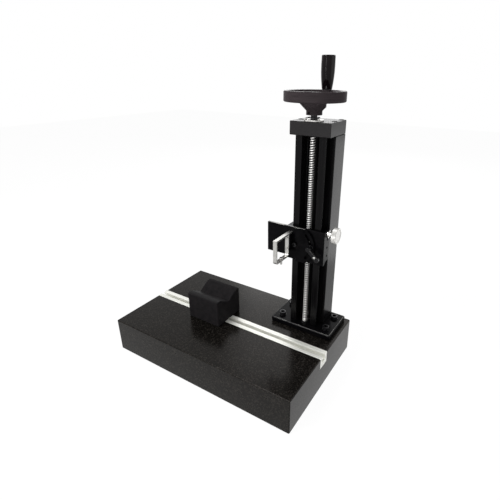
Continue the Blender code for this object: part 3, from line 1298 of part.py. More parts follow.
def make_key(steel, black_steel, home):
    """The tongue that guides the V-block along the slot, held up in its key way by one screw."""
    foot, top = BASE_TOP - KEY_IN_SLOT, VBLOCK_FOOT + KEY_IN_BLOCK - SEAT_GAP
    half_width = SLOT_MOUTH / 2 - SEAT_GAP
    bm = bmesh.new()
    low = (VBLOCK_PLACE_X - KEY_LENGTH / 2, RAIL_PLACE_Y - half_width, foot)
    high = (VBLOCK_PLACE_X + KEY_LENGTH / 2, RAIL_PLACE_Y + half_width, top)
    add_box(bm, low, high)
    key = finish("v_block_key", bm, steel, home=home)
    bore = bmesh.new()
    seat = foot + KEY_HEAD_HEIGHT + SEAT_GAP
    slack = KEY_SCREW_RADIUS + SEAT_GAP
    profile = [
        (0.0, foot - OVERRUN),
        (KEY_HEAD_RADIUS + SEAT_GAP, foot - OVERRUN),
        (KEY_HEAD_RADIUS + SEAT_GAP, seat + SEAT_GAP),
        (slack, seat + SEAT_GAP),
        (slack, top + OVERRUN),
        (0.0, top + OVERRUN),
    ]
    add_turned(bore, profile, (VBLOCK_PLACE_X, RAIL_PLACE_Y, 0.0), ALONG_Z, SCREW_FACETS)
    cut(key, "key_bore", bore)
    place = (VBLOCK_PLACE_X, RAIL_PLACE_Y, seat)
    length = VBLOCK_FOOT + KEY_SCREW_REACH - seat
    screw = cap_screw(place, -ALONG_Z, KEY_HEAD_RADIUS, KEY_HEAD_HEIGHT, KEY_SCREW_RADIUS, length)
    finish("key_screw", screw, black_steel, home=home, smooth=True)


def build():
    clear_scene()
    granite = material("polished_black_granite", (0.035, 0.033, 0.032), 0.15, 0.0)
    aluminium = material("milled_aluminium", (0.78, 0.78, 0.77), 0.35, 1.0)
    anodised = material("black_anodised_aluminium", (0.014, 0.014, 0.015), 0.45, 0.0)
    black = material("black_oxide_steel", (0.012, 0.012, 0.013), 0.40, 0.3)
    black_steel = material("black_screw_steel", (0.02, 0.02, 0.02), 0.35, 0.6)
    steel = material("ground_steel", (0.62, 0.62, 0.60), 0.28, 1.0)
    bright = material("bright_nickel", (0.82, 0.82, 0.80), 0.25, 1.0)
    phenolic = material("black_phenolic", (0.012, 0.011, 0.012), 0.22, 0.0)
    bronze = material("cast_bronze", (0.55, 0.36, 0.16), 0.40, 1.0)
    brass = material("drawn_brass", (0.72, 0.55, 0.24), 0.35, 1.0)

    screw_home = joint_home("screw_axis", screw_axis_at(FOOT_TOP))
    grip_home = joint_home("handle_axis", handle_axis_at(RIM_TOP))
    carriage_home = joint_home("carriage_axis", screw_axis_at(PIVOT_Z))
    tilt_home = joint_home("tilt_pivot", (PIVOT_X, PLATE_FRONT, PIVOT_Z))
    lever_home = joint_home("lever_pivot", (CLAMP_STUD_X, LEVER_BACK, PIVOT_Z))
    lock_home = joint_home("lock_axis", (CARRIAGE_SIDE, LOCK_Y, LOCK_Z))
    pad_place = (FRAME_MIDDLE_X, (FRAME_FRONT + FRAME_BACK) / 2, FRAME_FOOT)
    pad_home = joint_home("pad_axis", pad_place)
    clamp_home = joint_home("clamp_screw_axis", pad_place)
    vblock_home = joint_home("v_block_place", (VBLOCK_PLACE_X, RAIL_PLACE_Y, VBLOCK_FOOT))

    make_granite_base(granite)
    make_granite_inserts(steel)
    make_rail(aluminium)
    make_foot_plate(black)
    make_foot_screws(black_steel)
    make_column(anodised)
    make_column_screws(steel)
    make_top_block(anodised)
    make_top_block_screws(black_steel)
    make_bearing(steel, brass, screw_home)
    make_bearing_cover(bright)
    make_cover_screws(steel)
    make_lower_bush(bright)
    make_lead_screw(steel, screw_home)
    make_lock_collar(black_steel, screw_home)
    make_handwheel(phenolic, screw_home)
    make_wheel_fasteners(black_steel, screw_home)
    make_handle(phenolic, steel, screw_home, grip_home)
    make_carriage(black, carriage_home)
    make_gib(black, black_steel, carriage_home)
    make_lead_nut(bronze, steel, carriage_home)
    make_lock(bright, carriage_home, lock_home)
    make_holder_plate(black, tilt_home)
    make_pivot_screw(black_steel, carriage_home)
    make_tilt_clamp(black, steel, carriage_home, lever_home)
    make_clamp_frame(bright, black, tilt_home)
    make_clamp_screw(black_steel, steel, pad_home, clamp_home)
    make_vblock(black, vblock_home)
    make_key(steel, black_steel, vblock_home)


build()
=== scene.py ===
"""Looks of a roughness tester stand: black granite, blackened steel, black aluminium and bright fittings."""
import json
import math

import bmesh
import bpy
from mathutils import Matrix, Vector


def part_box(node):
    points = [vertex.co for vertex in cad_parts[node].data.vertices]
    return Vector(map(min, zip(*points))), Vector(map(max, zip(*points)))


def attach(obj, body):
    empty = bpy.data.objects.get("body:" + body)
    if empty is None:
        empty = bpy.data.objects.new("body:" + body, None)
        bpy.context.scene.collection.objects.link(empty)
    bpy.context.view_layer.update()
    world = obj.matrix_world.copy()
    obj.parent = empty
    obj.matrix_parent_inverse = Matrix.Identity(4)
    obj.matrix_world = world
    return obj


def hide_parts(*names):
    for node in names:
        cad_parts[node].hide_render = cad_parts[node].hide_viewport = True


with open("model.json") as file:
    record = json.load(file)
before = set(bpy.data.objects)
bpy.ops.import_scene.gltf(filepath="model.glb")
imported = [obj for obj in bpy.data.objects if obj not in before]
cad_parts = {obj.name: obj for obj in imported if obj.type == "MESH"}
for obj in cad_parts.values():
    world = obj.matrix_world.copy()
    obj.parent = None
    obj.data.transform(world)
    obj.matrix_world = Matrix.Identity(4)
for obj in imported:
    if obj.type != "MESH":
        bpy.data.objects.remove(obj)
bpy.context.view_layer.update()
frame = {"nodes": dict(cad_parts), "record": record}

BODY_OF = {node: body for body, nodes in frame["record"]["behaviour"]["bodies"].items() for node in nodes}
SLOT_OF = {part["node"]: part["material_slot"] for part in frame["record"]["subparts"]}

ALONG_X = Vector((1.0, 0.0, 0.0))
ALONG_Y = Vector((0.0, 1.0, 0.0))
ALONG_Z = Vector((0.0, 0.0, 1.0))

# Facets round a full turn
WHEEL_FACETS = 144
ROUND_FACETS = 72
SCREW_FACETS = 48
THREAD_FACETS = 24

# Angles that tell a corner from a curve
CORNER_ANGLE = math.radians(35)
SMOOTH_ANGLE = math.radians(38)
FLAT_ANGLE = math.radians(1)
MERGE_DISTANCE = 0.000002

# Fits, broken edges and how far a cutter runs past a surface, in metres as everything below
SEAT_GAP = 0.0003
FINE_EDGE = 0.0002
BROKEN_EDGE = 0.0003
OVERRUN = 0.004

# Hex sockets and knurled heads
SOCKET_WIDTH_SHARE = 0.58
SOCKET_DEPTH_SHARE = 0.55
HEAD_EDGE_SHARE = 0.1
KNURL_DEPTH = 0.00015

# Lead screw. Its thread stays inside the CAD rod, because the photographed one looks a little thinner
SCREW_PITCH = 0.004
SCREW_RADIUS = 0.0044
SCREW_THREAD_DEPTH = 0.0014
# The share of the thread's depth that is painted dark in its roots, as shade
SHADED_ROOT_SHARE = 0.6
JOURNAL_RADIUS = 0.004
LOWER_JOURNAL = 0.012
END_BORE_RADIUS = 0.0028
END_BORE_DEPTH = 0.0103

# Clamp screw under the tester's frame
CLAMP_PITCH = 0.0007
CLAMP_THREAD_DEPTH = 0.0003

# One turn of a thread, in shares of its pitch and depth, and how many turns are cut off at each end
THREAD_SHAPE = (
    (0.0, 0.0), (0.16, 0.0), (0.28, 0.85), (0.32, 0.96), (0.37, 1.0),
    (0.63, 1.0), (0.68, 0.96), (0.72, 0.85), (0.84, 0.0), (1.0, 0.0),
)
SPARE_TURNS = 2

# Head heights and shank radii of the socket screws
FOOT_SCREW = (0.008, 0.004)
BLOCK_SCREW = (0.006, 0.003)
COVER_SCREW = (0.0014, 0.0012)
FRAME_SCREW = (0.0018, 0.0015)
WHEEL_SCREW = (0.003, 0.0025)
KEY_SCREW = (0.0025, 0.0015)

# Pivot screw
PIVOT_THREAD_RADIUS = 0.0024
PIVOT_SHOULDER_RADIUS = 0.003
PIVOT_HEAD_HEIGHT = 0.003

# Handwheel
RIM_THICKNESS = 0.0085
RIM_HEIGHT = 0.016
RIM_ROUNDING = 0.0025
RIM_SEGMENTS = 6
HUB_RADIUS = 0.0128
HUB_STRAIGHT = 0.0062
HUB_HEIGHT = 0.021
HUB_BORE = 0.0043
DISH_RADIUS = 0.024
DISH_RISE = 0.0172
DISH_OUTER_RISE = 0.0265
WEB_THICKNESS = 0.0055
SPOKES = 3
SPOKE_WIDTH = 0.014
WINDOW_INNER_RADIUS = 0.0185
WINDOW_OUTER_RADIUS = 0.0365
WINDOW_FACETS = 40
WHEEL_EDGE = 0.0006
BOSS_RADIUS = 0.0088
STUD_ROOT = 0.012
STUD_RADIUS = 0.003
STUD_FLANGE_HEIGHT = 0.0008
GRUB_HEIGHT = 0.0032
GRUB_RADIUS = 0.002
GRUB_LENGTH = 0.0075
GRUB_TURN = math.radians(-105)

# Revolving handle
GRIP_FOOT_RADIUS = 0.0084
GRIP_TOP_RADIUS = 0.0112
GRIP_LENGTH_SHARES = (0.0, 0.12, 0.24, 0.36, 0.50, 0.75, 0.975, 1.0)
GRIP_TAPER_SHARES = (0.0, 0.28, 0.55, 0.76, 0.92, 1.0, 0.95, 0.68)
GRIP_CAP_RADIUS = 0.0042
GRIP_CAP_SINK = 0.0005

# Lock knob and its bush
KNOB_THICKNESS = 0.012
KNOB_NECK = 0.0035
KNOB_NECK_RADIUS = 0.0062
KNOB_EDGE = 0.0009
KNOB_RIBS = 72
KNOB_RIB_DEPTH = 0.0003
KNOB_DISH_RADIUS = 0.0105
KNOB_DISH_DEPTH = 0.0006
KNOB_STUD_RADIUS = 0.004
BUSH_GROOVE_DEPTH = 0.0014
BUSH_GROOVE_SHARES = (0.38, 0.64)

# Lock collar, lower bush and bearing cover
COLLAR_SLEEVE_RADIUS = 0.0052
COLLAR_FLANGE = 0.0022
COLLAR_FLANGE_RISE = 0.0019
LOWER_BUSH_RADIUS = 0.0063
LOWER_BUSH_DEPTH = 0.008
COVER_BORE = 0.0055

# Clamping lever, washer and pad
LEVER_HUB_RADIUS = 0.0055
LEVER_HUB_TOP_RADIUS = 0.0042
LEVER_HUB_HEIGHT = 0.009
LEVER_BORE = 0.0023
LEVER_LENGTH = 0.023
LEVER_TURN = math.radians(42)
LEVER_ROOT_WIDTH = 0.006
LEVER_END_WIDTH = 0.0078
LEVER_END_RADIUS = 0.0045
LEVER_THICKNESS = 0.0042
LEVER_EDGE = 0.0006
LEVER_EDGE_SEGMENTS = 3
BUTTON_RADIUS = 0.0022
BUTTON_HEIGHT = 0.0005
BUTTON_PLACE = 0.0175
PAD_BORE = 0.0022
PAD_POCKET = 0.001

# Sockets of a Mix node for colours, whose names occur more than once on it
MIX_SHARE = 0
MIX_FIRST = 6
MIX_SECOND = 7
MIX_RESULT = 2

# Patterns of the finishes. Between these two levels of its noise a finish goes from dark to light
NOISE_LOW = 0.35
NOISE_HIGH = 0.65
NOISE_ROUGHNESS = 0.6
RELIEF_STRENGTH = 0.6
PIT_DEPTH = 0.000004
PIT_STRENGTH = 0.4
SCRATCH_DEPTH = 0.000004
SCRATCH_STRENGTH = 0.5
DARK_GRAIN_SHARE = 0.6

# Where the bright patches of the worn edges fall: bare steel and a painted highlight in one
WEAR_AND_HIGHLIGHT_SHIFT = (0.04, 0.0, 0.0)

# Camera, as fitted to the photograph's edges
CAMERA_PLACE = (0.40345, -0.50791, 0.53029)
CAMERA_TURN = (1.1581, -0.0090, 0.5432)
CAMERA_LENS_MM = 27.474
CAMERA_SHIFT = (-0.0542, -0.0213)

# Floor and sky. The plain paint's share of the floor carries the shadow
FLOOR_REACH = 4.0
FLOOR_GLOW = 1.08
FLOOR_GLOW_SHARE = 0.88
SKY_LIGHT = 0.36
SKY_WHITE = 1.0

# Soft boxes: name, place, power in watts, width and height
LAMPS = (
    ("key_soft_box", (-0.6, -1.1, 1.5), 20.0, 0.6, 0.6),
    ("right_soft_box", (1.6, 0.3, 0.8), 5.0, 1.2, 1.2),
    ("back_soft_box", (-0.5, 1.8, 1.2), 8.0, 1.4, 1.4),
    ("narrow_back_box", (-0.9, 1.9, 1.0), 2.0, 0.9, 0.4),
    ("front_strip_box", (-0.155, -1.37, 0.7), 3.0, 0.06, 0.9),
    ("low_panel_behind", (0.36, 0.4, 0.2), 0.48, 0.4, 0.36),
    ("low_panel_in_front", (0.3, -1.09, 0.15), 2.2, 0.35, 0.25),
)
LAMP_AIM = Vector((0.0, 0.0, 0.2))


# Places read from the CAD nodes

def nodes_named(start):
    """The CAD nodes whose names start so, such as all screws of one kind."""
    return [node for node in SLOT_OF if node.startswith(start)]


def middle_of(node):
    """The middle of a CAD node's box."""
    low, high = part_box(node)
    return (low + high) / 2


def foot_of(node):
    """Where the upright axis through a node's middle meets the ground."""
    place = middle_of(node)
    place.z = 0.0
    return place


# Colours and material nodes

def srgb(hex_colour):
    """An sRGB hex colour such as #1A1A1C as linear RGBA."""
    channels = [int(hex_colour[i:i + 2], 16) / 255 for i in (1, 3, 5)]
    linear = [c / 12.92 if c <= 0.04045 else ((c + 0.055) / 1.055) ** 2.4 for c in channels]
    return (*linear, 1.0)


def add_node(tree, kind, inputs=None, **settings):
    """Add a node, set its properties, and give each input a value or a link from another node's output."""
    made = tree.nodes.new(kind)
    for name, value in settings.items():
        setattr(made, name, value)
    for socket, value in (inputs or {}).items():
        if isinstance(value, bpy.types.NodeSocket):
            tree.links.new(value, made.inputs[socket])
        else:
            made.inputs[socket].default_value = value
    return made


def start_look(name, **shader_values):
    """A material whose Principled shader has its plain values set on its own sockets."""
    look = bpy.data.materials.new(name)
    look.use_nodes = True
    shader = look.node_tree.nodes["Principled BSDF"]
    for socket, value in shader_values.items():
        shader.inputs[socket.replace("_", " ")].default_value = value
    return look, look.node_tree, shader


def grain(tree, size_mm, stretch=(1.0, 1.0, 1.0), detail=3.0, shift=(0.0, 0.0, 0.0)):
    """Noise in blobs about size_mm across, drawn out along an axis whose stretch is under 1, and shifted."""
    place = add_node(tree, "ShaderNodeTexCoord").outputs["Object"]
    fitted = {"Vector": place, "Location": shift, "Scale": stretch}
    mapped = add_node(tree, "ShaderNodeMapping", fitted).outputs["Vector"]
    settings = {"Vector": mapped, "Scale": 1000 / size_mm, "Detail": detail, "Roughness": NOISE_ROUGHNESS}
    return add_node(tree, "ShaderNodeTexNoise", settings).outputs["Fac"]


def finish_from(tree, shader, pattern, colours, roughness, relief_mm):
    """Let one pattern drive a finish: its colour from dark to light, its roughness and its relief."""
    level = {"Value": pattern, "From Min": NOISE_LOW, "From Max": NOISE_HIGH}
    share = add_node(tree, "ShaderNodeMapRange", level).outputs["Result"]
    blend = {MIX_SHARE: share, MIX_FIRST: srgb(colours[0]), MIX_SECOND: srgb(colours[1])}
    colour = add_node(tree, "ShaderNodeMix", blend, data_type="RGBA").outputs[MIX_RESULT]
    tree.links.new(colour, shader.inputs["Base Color"])
    low, high = roughness
    gloss = add_node(tree, "ShaderNodeMapRange", {"Value": share, "To Min": low, "To Max": high})
    tree.links.new(gloss.outputs["Result"], shader.inputs["Roughness"])
    relief = {"Height": pattern, "Distance": relief_mm / 1000, "Strength": RELIEF_STRENGTH}
    bump = add_node(tree, "ShaderNodeBump", relief)
    tree.links.new(bump.outputs["Normal"], shader.inputs["Normal"])


def polished_granite():
    """Black granite, lapped and polished: near black with fine grey and brown grains under a clear gloss."""
    # An IOR under the real 1.5 keeps the white studio from greying it, as in the other black finishes
    look, tree, shader = start_look("polished_black_granite", IOR=1.21, Specular_Tint=srgb("#FFF9F3"))
    place = add_node(tree, "ShaderNodeTexCoord").outputs["Object"]
    # Real grains are about 1 mm across, and are drawn at 2 mm so that they show
    grain_mm = 2.0
    cells = add_node(tree, "ShaderNodeTexVoronoi", {"Vector": place, "Scale": 1000 / grain_mm})
    grey = add_node(tree, "ShaderNodeSeparateColor", {"Color": cells.outputs["Color"]}).outputs["Red"]
    level = {"Value": grey, "From Min": DARK_GRAIN_SHARE}
    fleck = add_node(tree, "ShaderNodeMapRange", level).outputs["Result"]
    cloud = grain(tree, size_mm=14.0, detail=4.0)
    body_blend = {MIX_SHARE: cloud, MIX_FIRST: srgb("#0A0908"), MIX_SECOND: srgb("#151311")}
    body = add_node(tree, "ShaderNodeMix", body_blend, data_type="RGBA").outputs[MIX_RESULT]
    fleck_blend = {MIX_SHARE: fleck, MIX_FIRST: body, MIX_SECOND: srgb("#2A2724")}
    colour = add_node(tree, "ShaderNodeMix", fleck_blend, data_type="RGBA").outputs[MIX_RESULT]
    tree.links.new(colour, shader.inputs["Base Color"])
    gloss = add_node(tree, "ShaderNodeMapRange", {"Value": cloud, "To Min": 0.14, "To Max": 0.26})
    tree.links.new(gloss.outputs["Result"], shader.inputs["Roughness"])
    pits = {"Height": fleck, "Distance": PIT_DEPTH, "Strength": PIT_STRENGTH}
    bump = add_node(tree, "ShaderNodeBump", pits)
    tree.links.new(bump.outputs["Normal"], shader.inputs["Normal"])
    return look


def milled_aluminium():
    """Aluminium extrusion with a milled top: pale and satin, with fine lines along its length."""
    # Only part metallic, as the screw and the knob are, so that it stays pale where it mirrors dark pieces
    look, tree, shader = start_look("milled_aluminium", Metallic=0.4)
    # Milled lines are about 0.2 mm apart, drawn at 1.2 mm so that they show
    lines = grain(tree, size_mm=1.2, stretch=(0.01, 1.0, 1.0))
    finish_from(tree, shader, lines, ("#DDDDD6", "#FAFAF4"), roughness=(0.36, 0.5), relief_mm=0.008)
    return look


def black_anodised():
    """Extruded aluminium, black anodised: satin black with faint draw lines up the column."""
    look, tree, shader = start_look("black_anodised_aluminium", IOR=1.18)
    # Draw lines are about 0.2 mm apart, drawn at 0.8 mm so that they show
    lines = grain(tree, size_mm=0.8, stretch=(1.0, 1.0, 0.01))
    finish_from(tree, shader, lines, ("#060607", "#0E0D0E"), roughness=(0.18, 0.28), relief_mm=0.006)
    return look


def blasted_anodised():
    """Bead-blasted and black anodised aluminium: a matt charcoal, lighter than the extrusion under it."""
    look, tree, shader = start_look("blasted_black_anodised", IOR=1.3)
    # Blasting leaves pits of about 0.1 mm, drawn at 1 mm so that they show
    pits = grain(tree, size_mm=1.0)
    finish_from(tree, shader, pits, ("#121112", "#1E1C1D"), roughness=(0.34, 0.46), relief_mm=0.01)
    return look


def black_oxide():
    """Ground steel, blackened and oiled: deep black with a soft, slightly mottled sheen."""
    look, tree, shader = start_look("black_oxide_steel", IOR=1.115)
    mottle = grain(tree, size_mm=7.0, stretch=(0.5, 1.0, 1.0), detail=5.0)
    finish_from(tree, shader, mottle, ("#040405", "#0B0A0C"), roughness=(0.17, 0.27), relief_mm=0.006)
    return look


def matt_black_oxide():
    """Ground steel, blackened and left dry: a matt, faintly mottled black."""
    look, tree, shader = start_look("matt_black_oxide", IOR=1.09)
    mottle = grain(tree, size_mm=9.0, detail=5.0)
    finish_from(tree, shader, mottle, ("#1A191A", "#222021"), roughness=(0.4, 0.5), relief_mm=0.004)
    return look


def worn_oxide_with_painted_highlight():
    """Where handling has worn the black off an edge: patches of bare grey steel between black ones, which
    also serve as a painted highlight along the edges.
    """
    look, tree, shader = start_look("worn_oxide_with_painted_highlight", Metallic=0.9)
    # The light grey patches are bare steel and a painted highlight along the edges in one
    patches = grain(tree, size_mm=24.0, detail=1.0, shift=WEAR_AND_HIGHLIGHT_SHIFT)
    finish_from(tree, shader, patches, ("#1E1E1F", "#7C7B78"), roughness=(0.28, 0.4), relief_mm=0.004)
    return look


def black_screw_steel():
    """Heat-treated screw steel: a blue-black skin with a low metal glint."""
    look, tree, shader = start_look("black_screw_steel", Metallic=0.6)
    # The skin's speckle is about 0.5 mm across, drawn at 1.6 mm so that it shows
    mottle = grain(tree, size_mm=1.6)
    finish_from(tree, shader, mottle, ("#101012", "#222124"), roughness=(0.26, 0.42), relief_mm=0.004)
    return look


def ground_steel():
    """Turned and ground steel: bright grey with fine rings round the axis."""
    look, tree, shader = start_look("ground_steel", Metallic=1.0)
    # Ground rings are about 0.1 mm apart, drawn at 0.5 mm so that they show
    rings = grain(tree, size_mm=0.5, stretch=(0.1, 0.1, 1.0))
    finish_from(tree, shader, rings, ("#B4B3B0", "#D6D5D2"), roughness=(0.2, 0.34), relief_mm=0.004)
    return look


def screw_steel_with_painted_root_shade():
    """A rolled thread in use: bright on its crests, and painted nearly black in its roots as their shade."""
    look, tree, shader = start_look("screw_steel_with_painted_root_shade", Metallic=0.4)
    place = add_node(tree, "ShaderNodeTexCoord").outputs["Object"]
    centred = {"Vector": place, "Location": -foot_of("lead_screw"), "Scale": (1.0, 1.0, 0.0)}
    from_axis = add_node(tree, "ShaderNodeMapping", centred).outputs["Vector"]
    distance = add_node(tree, "ShaderNodeVectorMath", {0: from_axis}, operation="LENGTH").outputs["Value"]
    # Below this radius the thread is painted nearly black: painted shade in its roots
    shaded_below = SCREW_RADIUS - SHADED_ROOT_SHARE * SCREW_THREAD_DEPTH
    level = {"Value": distance, "From Min": shaded_below, "From Max": SCREW_RADIUS - FINE_EDGE}
    share = add_node(tree, "ShaderNodeMapRange", level).outputs["Result"]
    root_shade_to_steel = {MIX_SHARE: share, MIX_FIRST: srgb("#100F0E"), MIX_SECOND: srgb("#EEEDEA")}
    colour = add_node(tree, "ShaderNodeMix", root_shade_to_steel, data_type="RGBA").outputs[MIX_RESULT]
    tree.links.new(colour, shader.inputs["Base Color"])
    gloss = add_node(tree, "ShaderNodeMapRange", {"Value": share, "To Min": 0.45, "To Max": 0.3})
    tree.links.new(gloss.outputs["Result"], shader.inputs["Roughness"])
    # Rolling leaves rings about 0.1 mm apart, drawn at 0.5 mm so that they show
    rings = grain(tree, size_mm=0.5, stretch=(0.1, 0.1, 1.0))
    scratches = {"Height": rings, "Distance": SCRATCH_DEPTH, "Strength": SCRATCH_STRENGTH}
    bump = add_node(tree, "ShaderNodeBump", scratches)
    tree.links.new(bump.outputs["Normal"], shader.inputs["Normal"])
    return look


def satin_nickel():
    """Nickel plate over brushed steel: a pale silver that lights up along its edges."""
    look, tree, shader = start_look("satin_nickel_plate", Metallic=1.0)
    # Brushed lines are about 0.1 mm apart, drawn at 0.5 mm so that they show
    brush = grain(tree, size_mm=0.5, stretch=(1.0, 0.08, 0.08))
    finish_from(tree, shader, brush, ("#A8A7A4", "#C6C5C2"), roughness=(0.36, 0.48), relief_mm=0.005)
    return look


def turned_nickel():
    """Nickel plate over turned steel: a soft, pale silver that mirrors little."""
    look, tree, shader = start_look("turned_nickel_plate", Metallic=0.5)
    # Turning marks are about 0.1 mm across, drawn at 0.6 mm so that they show
    marks = grain(tree, size_mm=0.6)
    finish_from(tree, shader, marks, ("#B4B3B0", "#C8C7C4"), roughness=(0.34, 0.46), relief_mm=0.004)
    return look


def polished_nickel():
    """Nickel plate over polished steel: a clear silver that mirrors the dark pieces beside it."""
    look, tree, shader = start_look("polished_nickel_plate", Metallic=1.0)
    haze = grain(tree, size_mm=4.0)
    finish_from(tree, shader, haze, ("#D8D7D4", "#EDECE9"), roughness=(0.06, 0.14), relief_mm=0.002)
    return look


def turned_phenolic():
    """Phenolic moulding with a turned rim: satin plum-black, with faint rings left by the lathe."""
    look, tree, shader = start_look("turned_black_phenolic", IOR=1.07)
    # The lathe's rings are about 0.3 mm apart, drawn at 0.9 mm so that they show
    rings = grain(tree, size_mm=0.9, stretch=(0.04, 0.04, 1.0))
    finish_from(tree, shader, rings, ("#332E30", "#3D3739"), roughness=(0.28, 0.4), relief_mm=0.008)
    return look


def polished_phenolic():
    """Moulded and polished phenolic: deep black with sharp, bright highlights down the grip."""
    look, tree, shader = start_look("polished_black_phenolic", IOR=1.21)
    haze = grain(tree, size_mm=6.0)
    finish_from(tree, shader, haze, ("#0B0709", "#150F11"), roughness=(0.06, 0.13), relief_mm=0.004)
    return look


def polished_black_steel():
    """Blackened steel, polished first: black with bright, sharp edges."""
    look, tree, shader = start_look("polished_black_steel", IOR=1.25)
    haze = grain(tree, size_mm=3.0)
    finish_from(tree, shader, haze, ("#0B0B0D", "#161517"), roughness=(0.12, 0.22), relief_mm=0.003)
    return look


def bored_bronze():
    """Cast and bored bronze: warm brown-gold, slightly dulled."""
    look, tree, shader = start_look("bored_bronze", Metallic=1.0)
    haze = grain(tree, size_mm=3.0)
    finish_from(tree, shader, haze, ("#8F6A35", "#B98B4A"), roughness=(0.32, 0.48), relief_mm=0.006)
    return look


def drawn_brass():
    """Drawn brass: yellow metal with fine lines."""
    look, tree, shader = start_look("drawn_brass", Metallic=1.0)
    # Draw lines are about 0.1 mm apart, drawn at 0.5 mm so that they show
    lines = grain(tree, size_mm=0.5, stretch=(1.0, 1.0, 0.05))
    finish_from(tree, shader, lines, ("#C2A055", "#DDBE74"), roughness=(0.26, 0.4), relief_mm=0.004)
    return look


LOOKS = {
    "granite": polished_granite(),
    "rail_aluminium": milled_aluminium(),
    "black_anodised": black_anodised(),
    "black_oxide": black_oxide(),
    "screw_black": black_screw_steel(),
    "ground_steel": ground_steel(),
    "bright_nickel": satin_nickel(),
    "black_phenolic": turned_phenolic(),
    "bronze": bored_bronze(),
    "brass": drawn_brass(),
}


# Mesh helpers

def spun(bm, profile, steps, angle=math.tau, climb=0.0, use_merge=False):
    """Spin a profile about +Z, with a climb at each step for a thread.

    A spin makes its faces in another order at each run, so the shape is handed on with its faces sorted.
    """
    bmesh.ops.spin(
        bm, geom=profile, cent=(0, 0, 0), axis=ALONG_Z, dvec=ALONG_Z * climb, angle=angle, steps=steps,
        use_merge=use_merge,
    )
    bm.verts.index_update()
    in_order = bmesh.new()
    verts = [in_order.verts.new(vert.co) for vert in bm.verts]
    for corners in sorted(([vert.index for vert in face.verts] for face in bm.faces), key=sorted):
        in_order.faces.new([verts[index] for index in corners])
    bm.free()
    return in_order


def close_up(bm):
    """Merge doubles and point every face outwards."""
    bmesh.ops.remove_doubles(bm, verts=bm.verts, dist=MERGE_DISTANCE)
    bmesh.ops.recalc_face_normals(bm, faces=bm.faces)


def as_object(name, bm):
    mesh = bpy.data.meshes.new(name)
    bm.to_mesh(mesh)
    bm.free()
    made = bpy.data.objects.new(name, mesh)
    bpy.context.scene.collection.objects.link(made)
    return made


def add_piece(name, bm, node, look=None, slot=None, beside=False):
    """A finished piece with a CAD node's body and finish. It stands for the node, or sits beside it."""
    close_up(bm)
    piece = as_object(name, bm)
    slot = slot or SLOT_OF[node]
    piece.data.materials.append(look or LOOKS[slot])
    piece.data.shade_smooth()
    piece.data.set_sharp_from_angle(angle=SMOOTH_ANGLE)
    piece.modifiers.new("flat_faces_stay_flat", "WEIGHTED_NORMAL").keep_sharp = True
    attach(piece, BODY_OF[node])
    if not beside:
        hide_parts(node)
    return piece


def absorb(bm, other):
    """Add a finished bmesh to another one."""
    mesh = bpy.data.meshes.new("absorbed")
    other.to_mesh(mesh)
    other.free()
    bm.from_mesh(mesh)
    bpy.data.meshes.remove(mesh)


def soften(bm, width, segments=2, beyond=0.0):
    """Round the corners, or only those farther than beyond from the Z axis, and return the new faces."""
    sharp = [edge for edge in bm.edges if edge.is_manifold and edge.calc_face_angle(0.0) > CORNER_ANGLE]
    corners = [edge for edge in sharp if edge.verts[0].co.xy.length >= beyond]
    made = bmesh.ops.bevel(
        bm, geom=corners, offset=width, offset_type="OFFSET", affect="EDGES", segments=segments, profile=0.5,
        material=-1, clamp_overlap=True,
    )
    return made["faces"]


def put_on_axis(bm, place, axis):
    """Move a shape made about +Z onto an axis through place."""
    turn = ALONG_Z.rotation_difference(axis).to_matrix().to_4x4()
    bmesh.ops.transform(bm, matrix=Matrix.Translation(place) @ turn, verts=bm.verts)


def turned(profile, place=(0.0, 0.0, 0.0), axis=ALONG_Z, facets=ROUND_FACETS, edge=0.0):
    """Spin a profile of (radius, height) points. One that doesn't end on the axis is closed into a ring."""
    bm = bmesh.new()
    verts = [bm.verts.new((radius, 0.0, height)) for radius, height in profile]
    edges = [bm.edges.new(pair) for pair in zip(verts, verts[1:])]
    if profile[0][0] or profile[-1][0]:
        edges.append(bm.edges.new((verts[-1], verts[0])))
    bm = spun(bm, verts + edges, facets, use_merge=True)
    close_up(bm)
    if edge:
        soften(bm, edge)
    put_on_axis(bm, place, axis)
    return bm


def rod(radius, length, place=(0.0, 0.0, 0.0), axis=ALONG_Z, facets=SCREW_FACETS):
    return turned([(0.0, 0.0), (radius, 0.0), (radius, length), (0.0, length)], place, axis, facets)


def combined(bm, other, operation="DIFFERENCE"):
    """Cut the other shape out of the first, or join it on, and return the result."""
    piece, helper = as_object("combined", bm), as_object("helper", other)
    boolean = piece.modifiers.new("combine", "BOOLEAN")
    boolean.operation = operation
    boolean.solver = "EXACT"
    boolean.object = helper
    result = bmesh.new()
    result.from_mesh(piece.evaluated_get(bpy.context.evaluated_depsgraph_get()).to_mesh())
    for used in (piece, helper):
        mesh = used.data
        bpy.data.objects.remove(used)
        bpy.data.meshes.remove(mesh)
    return result


def copy_of(node):
    """A merged copy of a CAD node's loose triangles, with its flat faces made whole."""
    bm = bmesh.new()
    bm.from_mesh(frame["nodes"][node].data)
    close_up(bm)
    bmesh.ops.dissolve_limit(bm, angle_limit=FLAT_ANGLE, verts=bm.verts, edges=bm.edges)
    return bm


def knurl(bm, radius, depth, ribs):
    """Press every second vertex round a rim in, for fine ribs along the axis."""
    for vert in bm.verts:
        on_rim = abs(vert.co.xy.length - radius) < MERGE_DISTANCE
        if on_rim and round(math.atan2(vert.co.y, vert.co.x) * ribs / math.pi) % 2:
            vert.co.xy *= 1 - depth / radius


def sink_hex_socket(bm, width, depth, top):
    """Cut a hexagonal socket into a head whose top is at that height on the axis."""
    hexagon = bmesh.new()
    corner = width / math.sqrt(3)
    bmesh.ops.create_cone(hexagon, cap_ends=True, segments=6, radius1=corner, radius2=corner, depth=2 * depth)
    bmesh.ops.translate(hexagon, verts=hexagon.verts, vec=ALONG_Z * top)
    return combined(bm, hexagon)


